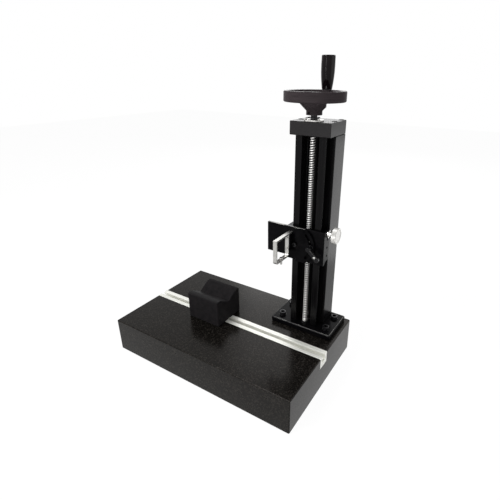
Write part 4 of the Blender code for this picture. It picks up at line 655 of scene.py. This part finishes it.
def add_socket_screw(node, axis, sizes, knurled=False):
    """A cap screw with a hex socket in place of a node's plain one, its head towards axis."""
    head_height, shank_radius = sizes
    low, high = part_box(node)
    span = high - low
    head_radius = (span.x if axis.z else span.z) / 2
    length = abs(span.dot(axis)) - head_height
    profile = [
        (0.0, -length),
        (shank_radius, -length),
        (shank_radius, 0.0),
        (head_radius, 0.0),
        (head_radius, head_height),
        (0.0, head_height),
    ]
    bm = turned(profile, facets=SCREW_FACETS, edge=head_radius * HEAD_EDGE_SHARE)
    if knurled:
        knurl(bm, head_radius, KNURL_DEPTH, SCREW_FACETS // 2)
    width, depth = 2 * head_radius * SOCKET_WIDTH_SHARE, head_height * SOCKET_DEPTH_SHARE
    bm = sink_hex_socket(bm, width, depth, head_height)
    put_on_axis(bm, (low + high) / 2 + axis * ((length + head_height) / 2 - head_height), axis)
    add_piece(f"{node}_with_socket", bm, node)


def add_set_screw(node, start, axis, radius, length):
    """A headless screw with a hex socket in its far end."""
    bm = rod(radius, length)
    soften(bm, radius * HEAD_EDGE_SHARE)
    bm = sink_hex_socket(bm, 2 * radius * SOCKET_WIDTH_SHARE, radius, length)
    put_on_axis(bm, start, axis)
    add_piece(f"{node}_with_socket", bm, node)


def threaded_rod(radius, depth, pitch, length):
    """A right-hand thread about +Z from 0 to length: one climbing turn, repeated, then cut off flat."""
    bm = bmesh.new()
    root = radius - depth
    section = [(root + depth * rise, 0.0, pitch * (along - SPARE_TURNS)) for along, rise in THREAD_SHAPE]
    verts = [bm.verts.new(point) for point in section]
    edges = [bm.edges.new(pair) for pair in zip(verts, verts[1:])]
    bm = spun(bm, verts + edges, THREAD_FACETS, climb=pitch / THREAD_FACETS)
    turn = bm.verts[:] + bm.edges[:] + bm.faces[:]
    for index in range(1, math.ceil(length / pitch) + 2 * SPARE_TURNS):
        copied = bmesh.ops.duplicate(bm, geom=turn)["geom"]
        moved = [item for item in copied if isinstance(item, bmesh.types.BMVert)]
        bmesh.ops.translate(bm, verts=moved, vec=ALONG_Z * (pitch * index))
    bmesh.ops.remove_doubles(bm, verts=bm.verts, dist=MERGE_DISTANCE)
    for height, outward in ((0.0, -ALONG_Z), (length, ALONG_Z)):
        trim(bm, ALONG_Z * height, outward)
    close_up(bm)
    return bm


def trim(bm, place, outward):
    """Cut off what lies outside a plane, and close the cut."""
    everything = bm.verts[:] + bm.edges[:] + bm.faces[:]
    cut = bmesh.ops.bisect_plane(
        bm, geom=everything, dist=MERGE_DISTANCE, plane_co=place, plane_no=outward, clear_outer=True
    )
    rim = [item for item in cut["geom_cut"] if isinstance(item, bmesh.types.BMEdge)]
    bmesh.ops.edgeloop_fill(bm, edges=rim)


# The stand's pieces

def dress_cad_nodes():
    """Give each CAD node the look of its material slot."""
    for node, slot in SLOT_OF.items():
        frame["nodes"][node].data.materials.clear()
        frame["nodes"][node].data.materials.append(LOOKS[slot])


def break_edges(painted_highlight_and_wear):
    """Finely broken edges on the plates and blocks, which catch a thin line of light. On the foot and holder
    plates the top edges, and the holder plate's whole top, get the worn look with its painted highlight.
    """
    own_looks = {"top_block": blasted_anodised(), "v_block": matt_black_oxide()}
    for node in (
        "granite_base", "t_slot_rail", "column", "top_block",
        "carriage", "frame_standoff", "clamp_frame", "v_block",
    ):
        bm = copy_of(node)
        soften(bm, BROKEN_EDGE)
        add_piece(f"{node}_with_broken_edges", bm, node, own_looks.get(node))
    for node, whole_top in (("foot_plate", False), ("holder_plate", True)):
        bm = copy_of(node)
        new_faces = soften(bm, BROKEN_EDGE)
        highlight_and_wear_height = max(vert.co.z for vert in bm.verts) - 2 * BROKEN_EDGE
        # The top faces, or only the new edge faces, get the worn look, whose light patches are also a painted
        # highlight
        for face in bm.faces if whole_top else new_faces:
            if face.calc_center_median().z > highlight_and_wear_height:
                face.material_index = 1
        add_piece(f"{node}_with_rubbed_edges", bm, node).data.materials.append(painted_highlight_and_wear)


def make_screws():
    """Socket screws all over the stand: knurled heads on the plates, plain ones in the small pieces."""
    for foot_screw, block_screw in zip(nodes_named("foot_plate_screw"), nodes_named("top_block_screw")):
        add_socket_screw(foot_screw, ALONG_Z, FOOT_SCREW, knurled=True)
        add_socket_screw(block_screw, ALONG_Z, BLOCK_SCREW, knurled=True)
    for node in nodes_named("cover_screw"):
        add_socket_screw(node, ALONG_Z, COVER_SCREW)
    for node in nodes_named("frame_screw"):
        add_socket_screw(node, -ALONG_Y, FRAME_SCREW)
    add_socket_screw("wheel_end_screw", ALONG_Z, WHEEL_SCREW)
    add_socket_screw("key_screw", -ALONG_Z, KEY_SCREW)
    for node in nodes_named("gib_screw"):
        low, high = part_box(node)
        start = middle_of(node)
        start.x = low.x
        add_set_screw(node, start, ALONG_X, (high.z - low.z) / 2, high.x - low.x)


def make_lead_screw():
    """The trapezoidal thread between two journals, the upper one bored for the wheel's end screw."""
    low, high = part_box("lead_screw")
    thread_foot = low.z + LOWER_JOURNAL
    thread_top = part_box("bearing_inner_ring")[0].z - SEAT_GAP
    bm = threaded_rod(SCREW_RADIUS, SCREW_THREAD_DEPTH, SCREW_PITCH, thread_top - thread_foot)
    bmesh.ops.translate(bm, verts=bm.verts, vec=ALONG_Z * thread_foot)
    lower = [
        (0.0, low.z),
        (JOURNAL_RADIUS, low.z),
        (JOURNAL_RADIUS, thread_foot + SEAT_GAP),
        (0.0, thread_foot + SEAT_GAP),
    ]
    absorb(bm, turned(lower, facets=SCREW_FACETS, edge=FINE_EDGE))
    upper = [
        (0.0, thread_top - SEAT_GAP),
        (JOURNAL_RADIUS, thread_top - SEAT_GAP),
        (JOURNAL_RADIUS, high.z),
        (END_BORE_RADIUS, high.z),
        (END_BORE_RADIUS, high.z - END_BORE_DEPTH),
        (0.0, high.z - END_BORE_DEPTH),
    ]
    absorb(bm, turned(upper, facets=SCREW_FACETS, edge=FINE_EDGE))
    bmesh.ops.translate(bm, verts=bm.verts, vec=foot_of("lead_screw"))
    add_piece("threaded_lead_screw", bm, "lead_screw", screw_steel_with_painted_root_shade())


def wheel_section(radius, height):
    """The wheel's section from its bore round the underside, the rim and back over the top."""
    inside = radius - RIM_THICKNESS
    return [
        (HUB_BORE, 0.0),
        (HUB_RADIUS, 0.0),
        (HUB_RADIUS, HUB_STRAIGHT),
        (DISH_RADIUS, DISH_RISE),
        (inside, DISH_OUTER_RISE),
        (inside, height - RIM_HEIGHT),
        (radius, height - RIM_HEIGHT),
        (radius, height),
        (inside, height),
        (inside, DISH_OUTER_RISE + WEB_THICKNESS),
        (DISH_RADIUS, DISH_RISE + WEB_THICKNESS),
        (HUB_RADIUS, HUB_STRAIGHT + 2 * WEB_THICKNESS),
        (HUB_RADIUS, HUB_HEIGHT),
        (HUB_BORE, HUB_HEIGHT),
    ]


def window_between(first_turn, height):
    """The window between two spokes: a part of a ring, trimmed along both so that each keeps its width."""
    bm = bmesh.new()
    section = (
        (WINDOW_INNER_RADIUS, -OVERRUN), (WINDOW_OUTER_RADIUS, -OVERRUN),
        (WINDOW_OUTER_RADIUS, height + OVERRUN), (WINDOW_INNER_RADIUS, height + OVERRUN),
    )
    face = bm.faces.new([bm.verts.new((radius, 0.0, z)) for radius, z in section])
    step = math.tau / SPOKES
    bm = spun(bm, [face], WINDOW_FACETS, angle=step)
    close_up(bm)
    for turn, inwards in ((0.0, 1), (step, -1)):
        across = Vector((-math.sin(turn), math.cos(turn), 0.0)) * inwards
        trim(bm, across * (SPOKE_WIDTH / 2), -across)
    close_up(bm)
    bmesh.ops.rotate(bm, verts=bm.verts, cent=(0, 0, 0), matrix=Matrix.Rotation(first_turn, 3, "Z"))
    return bm


def make_handwheel():
    """The dished wheel: a spun section, three windows cut between its spokes, and a boss for the handle."""
    low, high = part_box("handwheel")
    height = high.z - low.z
    centre = foot_of("lead_screw")
    handle = foot_of("handle_stud") - centre
    centre.z = low.z
    handle_turn = math.atan2(handle.y, handle.x)
    wheel = turned(wheel_section((high.x - low.x) / 2, height), facets=WHEEL_FACETS)
    soften(wheel, RIM_ROUNDING, segments=RIM_SEGMENTS, beyond=DISH_RADIUS + WEB_THICKNESS)
    soften(wheel, WHEEL_EDGE)
    boss_foot = DISH_OUTER_RISE - WEB_THICKNESS
    wheel = combined(wheel, rod(BOSS_RADIUS, height - boss_foot, handle + ALONG_Z * boss_foot), "UNION")
    for index in range(SPOKES):
        wheel = combined(wheel, window_between(handle_turn + math.tau * index / SPOKES, height))
    stud_foot = height - STUD_ROOT - SEAT_GAP
    wheel = combined(wheel, rod(STUD_RADIUS + SEAT_GAP, STUD_ROOT + OVERRUN, handle + ALONG_Z * stud_foot))
    outward = Matrix.Rotation(GRUB_TURN, 3, "Z") @ ALONG_X
    bore_start = ALONG_Z * GRUB_HEIGHT + outward * JOURNAL_RADIUS
    wheel = combined(wheel, rod(GRUB_RADIUS + SEAT_GAP, HUB_RADIUS, bore_start, outward, THREAD_FACETS))
    bmesh.ops.translate(wheel, verts=wheel.verts, vec=centre)
    add_piece("dished_handwheel", wheel, "handwheel")
    start = centre + ALONG_Z * GRUB_HEIGHT + outward * HUB_BORE
    add_set_screw("hub_grub_screw", start, outward, GRUB_RADIUS, GRUB_LENGTH)


def make_handle():
    """The stud with its flange, and the tapered grip with a sunk cap in its end."""
    low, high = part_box("handle_stud")
    seat = low.z + STUD_ROOT
    place = foot_of("handle_stud")
    flange_top = seat + SEAT_GAP + STUD_FLANGE_HEIGHT
    stud = [
        (0.0, low.z),
        (STUD_RADIUS, low.z),
        (STUD_RADIUS, seat + SEAT_GAP),
        (GRIP_FOOT_RADIUS, seat + SEAT_GAP),
        (GRIP_FOOT_RADIUS, flange_top),
        (STUD_RADIUS, flange_top),
        (STUD_RADIUS, high.z),
        (0.0, high.z),
    ]
    bm = turned(stud, place, edge=FINE_EDGE)
    add_piece("turned_handle_stud", bm, "handle_stud", slot="screw_black")
    bore = STUD_RADIUS + SEAT_GAP
    bore_top = high.z + SEAT_GAP
    low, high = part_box("handle_grip")
    growth = GRIP_TOP_RADIUS - GRIP_FOOT_RADIUS
    shares = zip(GRIP_TAPER_SHARES, GRIP_LENGTH_SHARES)
    grip = [(0.0, bore_top), (bore, bore_top), (bore, low.z)]
    grip += [(GRIP_FOOT_RADIUS + growth * taper, low.z + (high.z - low.z) * along) for taper, along in shares]
    grip += [
        (GRIP_CAP_RADIUS, high.z),
        (GRIP_CAP_RADIUS, high.z - GRIP_CAP_SINK),
        (0.0, high.z - GRIP_CAP_SINK),
    ]
    add_piece("tapered_handle_grip", turned(grip, place, edge=FINE_EDGE), "handle_grip", polished_phenolic())


def make_lock():
    """The knurled thumb screw with its dished face, and the grooved bush that it runs in."""
    low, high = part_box("lock_knob")
    radius = (high.z - low.z) / 2
    back = high.x - KNOB_THICKNESS
    start = middle_of("lock_knob")
    start.x = back
    floor = KNOB_THICKNESS - KNOB_DISH_DEPTH
    knob = [
        (0.0, low.x - back),
        (KNOB_STUD_RADIUS, low.x - back),
        (KNOB_STUD_RADIUS, 0.0),
        (KNOB_NECK_RADIUS, 0.0),
        (KNOB_NECK_RADIUS, KNOB_NECK),
        (radius - KNOB_EDGE, KNOB_NECK),
        (radius, KNOB_NECK + KNOB_EDGE),
        (radius, KNOB_THICKNESS - KNOB_EDGE),
        (radius - KNOB_EDGE, KNOB_THICKNESS),
        (KNOB_DISH_RADIUS + KNOB_DISH_DEPTH, KNOB_THICKNESS),
        (KNOB_DISH_RADIUS, floor),
        (0.0, floor),
    ]
    bm = turned(knob, facets=2 * KNOB_RIBS)
    knurl(bm, radius, KNOB_RIB_DEPTH, KNOB_RIBS)
    put_on_axis(bm, start, ALONG_X)
    add_piece("knurled_lock_knob", bm, "lock_knob", turned_nickel())
    low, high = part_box("lock_bush")
    start = middle_of("lock_bush")
    start.x = low.x
    radius, length = (high.z - low.z) / 2, high.x - low.x
    groove = radius - BUSH_GROOVE_DEPTH
    first, last = (length * share for share in BUSH_GROOVE_SHARES)
    bore = KNOB_STUD_RADIUS + SEAT_GAP
    bush = [
        (bore, 0.0), (radius, 0.0), (radius, first), (groove, first),
        (groove, last), (radius, last), (radius, length), (bore, length),
    ]
    bm = turned(bush, start, ALONG_X, edge=FINE_EDGE)
    add_piece("grooved_lock_bush", bm, "lock_bush", polished_nickel())


def make_turned_fittings():
    """The lock collar, the bearing cover cut flat in front, and the flanged bush in the foot plate."""
    low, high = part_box("lock_collar")
    place = foot_of("lock_collar")
    radius = (high.x - low.x) / 2
    cover_low, cover_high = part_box("bearing_cover")
    underside = cover_high.z + COLLAR_FLANGE_RISE
    collar = [
        (HUB_BORE, low.z),
        (COLLAR_SLEEVE_RADIUS, low.z),
        (COLLAR_SLEEVE_RADIUS, underside),
        (radius, underside),
        (radius, underside + COLLAR_FLANGE),
        (COLLAR_SLEEVE_RADIUS, underside + COLLAR_FLANGE),
        (COLLAR_SLEEVE_RADIUS, high.z),
        (HUB_BORE, high.z),
    ]
    add_piece("turned_lock_collar", turned(collar, place, edge=FINE_EDGE), "lock_collar")
    radius = (cover_high.x - cover_low.x) / 2
    cover = [
        (COVER_BORE, cover_low.z),
        (radius, cover_low.z),
        (radius, cover_high.z),
        (COVER_BORE, cover_high.z),
    ]
    bm = turned(cover, place)
    trim(bm, (place.x, cover_low.y, 0.0), -ALONG_Y)
    soften(bm, BROKEN_EDGE)
    add_piece("flat_sided_bearing_cover", bm, "bearing_cover")
    low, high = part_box("lower_bush")
    flange, flange_foot = (high.x - low.x) / 2, low.z + LOWER_BUSH_DEPTH + SEAT_GAP
    bush = [
        (HUB_BORE, low.z),
        (LOWER_BUSH_RADIUS, low.z),
        (LOWER_BUSH_RADIUS, flange_foot),
        (flange, flange_foot),
        (flange, high.z),
        (HUB_BORE, high.z),
    ]
    add_piece("flanged_lower_bush", turned(bush, place, edge=BROKEN_EDGE), "lower_bush", polished_nickel())


def make_pivot_screw():
    """The shoulder screw that the holder plate tilts on, with a hex socket in its head."""
    low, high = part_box("pivot_screw")
    start = middle_of("pivot_screw")
    start.y = high.y
    radius, length = (high.x - low.x) / 2, high.y - low.y
    seat = length - PIVOT_HEAD_HEIGHT
    shoulder = high.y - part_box("holder_plate")[1].y - SEAT_GAP
    profile = [
        (0.0, 0.0),
        (PIVOT_THREAD_RADIUS, 0.0),
        (PIVOT_THREAD_RADIUS, shoulder),
        (PIVOT_SHOULDER_RADIUS, shoulder),
        (PIVOT_SHOULDER_RADIUS, seat),
        (radius, seat),
        (radius, length),
        (0.0, length),
    ]
    bm = turned(profile, facets=SCREW_FACETS, edge=radius * HEAD_EDGE_SHARE)
    bm = sink_hex_socket(bm, 2 * radius * SOCKET_WIDTH_SHARE, PIVOT_HEAD_HEIGHT * SOCKET_DEPTH_SHARE, length)
    put_on_axis(bm, start, -ALONG_Y)
    add_piece("pivot_screw_with_socket", bm, "pivot_screw")


def make_tilt_clamp(painted_highlight_and_wear):
    """The clamping lever with rounded edges, worn and with a painted highlight, a bright button in its arm,
    and the washer under it.
    """
    pivot = middle_of("clamp_stud")
    pivot.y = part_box("clamp_lever")[1].y
    pocket = pivot.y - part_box("clamp_stud")[0].y + SEAT_GAP
    hub = [
        (0.0, pocket),
        (LEVER_BORE, pocket),
        (LEVER_BORE, 0.0),
        (LEVER_HUB_RADIUS, 0.0),
        (LEVER_HUB_RADIUS, LEVER_HUB_HEIGHT / 2),
        (LEVER_HUB_TOP_RADIUS, LEVER_HUB_HEIGHT),
        (0.0, LEVER_HUB_HEIGHT),
    ]
    lever = turned(hub, edge=LEVER_EDGE)
    arm_top = LEVER_HUB_HEIGHT - SEAT_GAP
    arm = bmesh.new()
    bmesh.ops.create_cube(arm, size=1.0)
    bmesh.ops.scale(arm, vec=(LEVER_LENGTH, LEVER_ROOT_WIDTH, LEVER_THICKNESS), verts=arm.verts)
    far_end = [vert for vert in arm.verts if vert.co.x > 0.0]
    bmesh.ops.scale(arm, vec=(1.0, LEVER_END_WIDTH / LEVER_ROOT_WIDTH, 1.0), verts=far_end)
    bmesh.ops.translate(arm, vec=(LEVER_LENGTH / 2, 0.0, arm_top - LEVER_THICKNESS / 2), verts=arm.verts)
    eye_place = (LEVER_LENGTH, 0.0, arm_top - LEVER_THICKNESS)
    arm = combined(arm, rod(LEVER_END_RADIUS, LEVER_THICKNESS, eye_place), "UNION")
    bmesh.ops.dissolve_limit(arm, angle_limit=FLAT_ANGLE, verts=arm.verts, edges=arm.edges)
    # The arm's rounded edges get the worn look, whose light patches are also a painted highlight
    for face in soften(arm, LEVER_EDGE, segments=LEVER_EDGE_SEGMENTS):
        face.material_index = 1
    lever = combined(lever, arm, "UNION")
    button = turned(
        [(0.0, 0.0), (BUTTON_RADIUS, 0.0), (BUTTON_RADIUS, BUTTON_HEIGHT), (0.0, BUTTON_HEIGHT)],
        (BUTTON_PLACE, 0.0, arm_top - SEAT_GAP), edge=FINE_EDGE,
    )
    for bm in (lever, button):
        bmesh.ops.rotate(bm, verts=bm.verts, cent=(0, 0, 0), matrix=Matrix.Rotation(-LEVER_TURN, 3, "Z"))
        put_on_axis(bm, pivot, -ALONG_Y)
    piece = add_piece("rounded_clamp_lever", lever, "clamp_lever", polished_black_steel())
    piece.data.materials.append(painted_highlight_and_wear)
    add_piece("clamp_lever_button", button, "clamp_lever", slot="ground_steel", beside=True)
    low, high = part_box("clamp_washer")
    radius = (high.x - low.x) / 2
    washer = [(LEVER_BORE, 0.0), (radius, 0.0), (radius, high.y - low.y), (LEVER_BORE, high.y - low.y)]
    pivot.y = high.y
    bm = turned(washer, pivot, -ALONG_Y, edge=FINE_EDGE)
    add_piece("turned_clamp_washer", bm, "clamp_washer", slot="screw_black")


def make_pad_and_clamp_screw():
    """The loose pad inside the frame, and the threaded screw that lifts it."""
    low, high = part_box("clamp_pad")
    radius = (high.x - low.x) / 2
    place = foot_of("clamp_pad")
    pad = [
        (0.0, low.z + PAD_POCKET),
        (PAD_BORE, low.z + PAD_POCKET),
        (PAD_BORE, low.z),
        (radius, low.z),
        (radius, high.z),
        (0.0, high.z),
    ]
    add_piece("turned_clamp_pad", turned(pad, place, edge=FINE_EDGE), "clamp_pad")
    low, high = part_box("clamp_screw")
    bm = threaded_rod((high.x - low.x) / 2, CLAMP_THREAD_DEPTH, CLAMP_PITCH, high.z - low.z)
    bmesh.ops.translate(bm, verts=bm.verts, vec=place + ALONG_Z * low.z)
    add_piece("threaded_clamp_screw", bm, "clamp_screw", slot="ground_steel")


# Floor, lights and camera

def rays_that_see_white(tree):
    """1 for rays from the camera, in reflections and through glass, and 0 for rays that light the stand."""
    rays = add_node(tree, "ShaderNodeLightPath").outputs
    direct = add_node(tree, "ShaderNodeMath", {0: rays["Is Camera Ray"], 1: rays["Is Glossy Ray"]}).outputs[0]
    total = {0: direct, 1: rays["Is Transmission Ray"]}
    return add_node(tree, "ShaderNodeMath", total, use_clamp=True).outputs[0]


def make_floor():
    """A pale studio floor: white to the camera and in reflections, with the stand's soft shadow on it."""
    bm = bmesh.new()
    bmesh.ops.create_grid(bm, x_segments=1, y_segments=1, size=FLOOR_REACH)
    floor = as_object("studio_floor", bm)
    look = bpy.data.materials.new("pale_studio_floor")
    look.use_nodes = True
    tree = look.node_tree
    tree.nodes.clear()
    paint = add_node(tree, "ShaderNodeBsdfDiffuse", {"Color": srgb("#D0D0D0")}).outputs[0]
    white = {"Color": srgb("#FFFFFF"), "Strength": FLOOR_GLOW}
    glow = add_node(tree, "ShaderNodeEmission", white).outputs[0]
    share = {0: rays_that_see_white(tree), 1: FLOOR_GLOW_SHARE}
    amount = add_node(tree, "ShaderNodeMath", share, operation="MULTIPLY").outputs[0]
    mixed = add_node(tree, "ShaderNodeMixShader", {0: amount, 1: paint, 2: glow}).outputs[0]
    add_node(tree, "ShaderNodeOutputMaterial", {"Surface": mixed})
    floor.data.materials.append(look)


def make_world():
    """White to the camera and in reflections, and a plain soft grey as light."""
    world = bpy.data.worlds.new("white_studio")
    world.use_nodes = True
    tree = world.node_tree
    tree.nodes.clear()
    levels = {"Value": rays_that_see_white(tree), "To Min": SKY_LIGHT, "To Max": SKY_WHITE}
    strength = add_node(tree, "ShaderNodeMapRange", levels).outputs["Result"]
    white = {"Color": srgb("#FFFFFF"), "Strength": strength}
    sky = add_node(tree, "ShaderNodeBackground", white).outputs[0]
    add_node(tree, "ShaderNodeOutputWorld", {"Surface": sky})
    bpy.context.scene.world = world


def make_light(name, place, power, width, height):
    """A soft box that points at the middle of the stand."""
    lamp = bpy.data.lights.new(name, "AREA")
    lamp.energy = power
    lamp.shape = "RECTANGLE"
    lamp.size, lamp.size_y = width, height
    soft_box = bpy.data.objects.new(name, lamp)
    soft_box.location = place
    soft_box.rotation_euler = (LAMP_AIM - Vector(place)).to_track_quat("-Z", "Y").to_euler()
    soft_box.visible_camera = False
    bpy.context.scene.collection.objects.link(soft_box)


def make_camera():
    lens = bpy.data.cameras.new("camera")
    lens.lens = CAMERA_LENS_MM
    lens.shift_x, lens.shift_y = CAMERA_SHIFT
    camera = bpy.data.objects.new("camera", lens)
    camera.location = CAMERA_PLACE
    camera.rotation_euler = CAMERA_TURN
    bpy.context.scene.collection.objects.link(camera)
    bpy.context.scene.camera = camera


# The worn edge look with its painted highlight, for the plates and the lever
edge_wear_and_painted_highlight = worn_oxide_with_painted_highlight()
dress_cad_nodes()
break_edges(edge_wear_and_painted_highlight)
make_screws()
make_lead_screw()
make_handwheel()
make_handle()
make_lock()
make_turned_fittings()
make_pivot_screw()
make_tilt_clamp(edge_wear_and_painted_highlight)
make_pad_and_clamp_screw()
make_floor()
make_world()
for lamp_values in LAMPS:
    make_light(*lamp_values)
make_camera()
bpy.context.scene.view_settings.view_transform = "Standard"
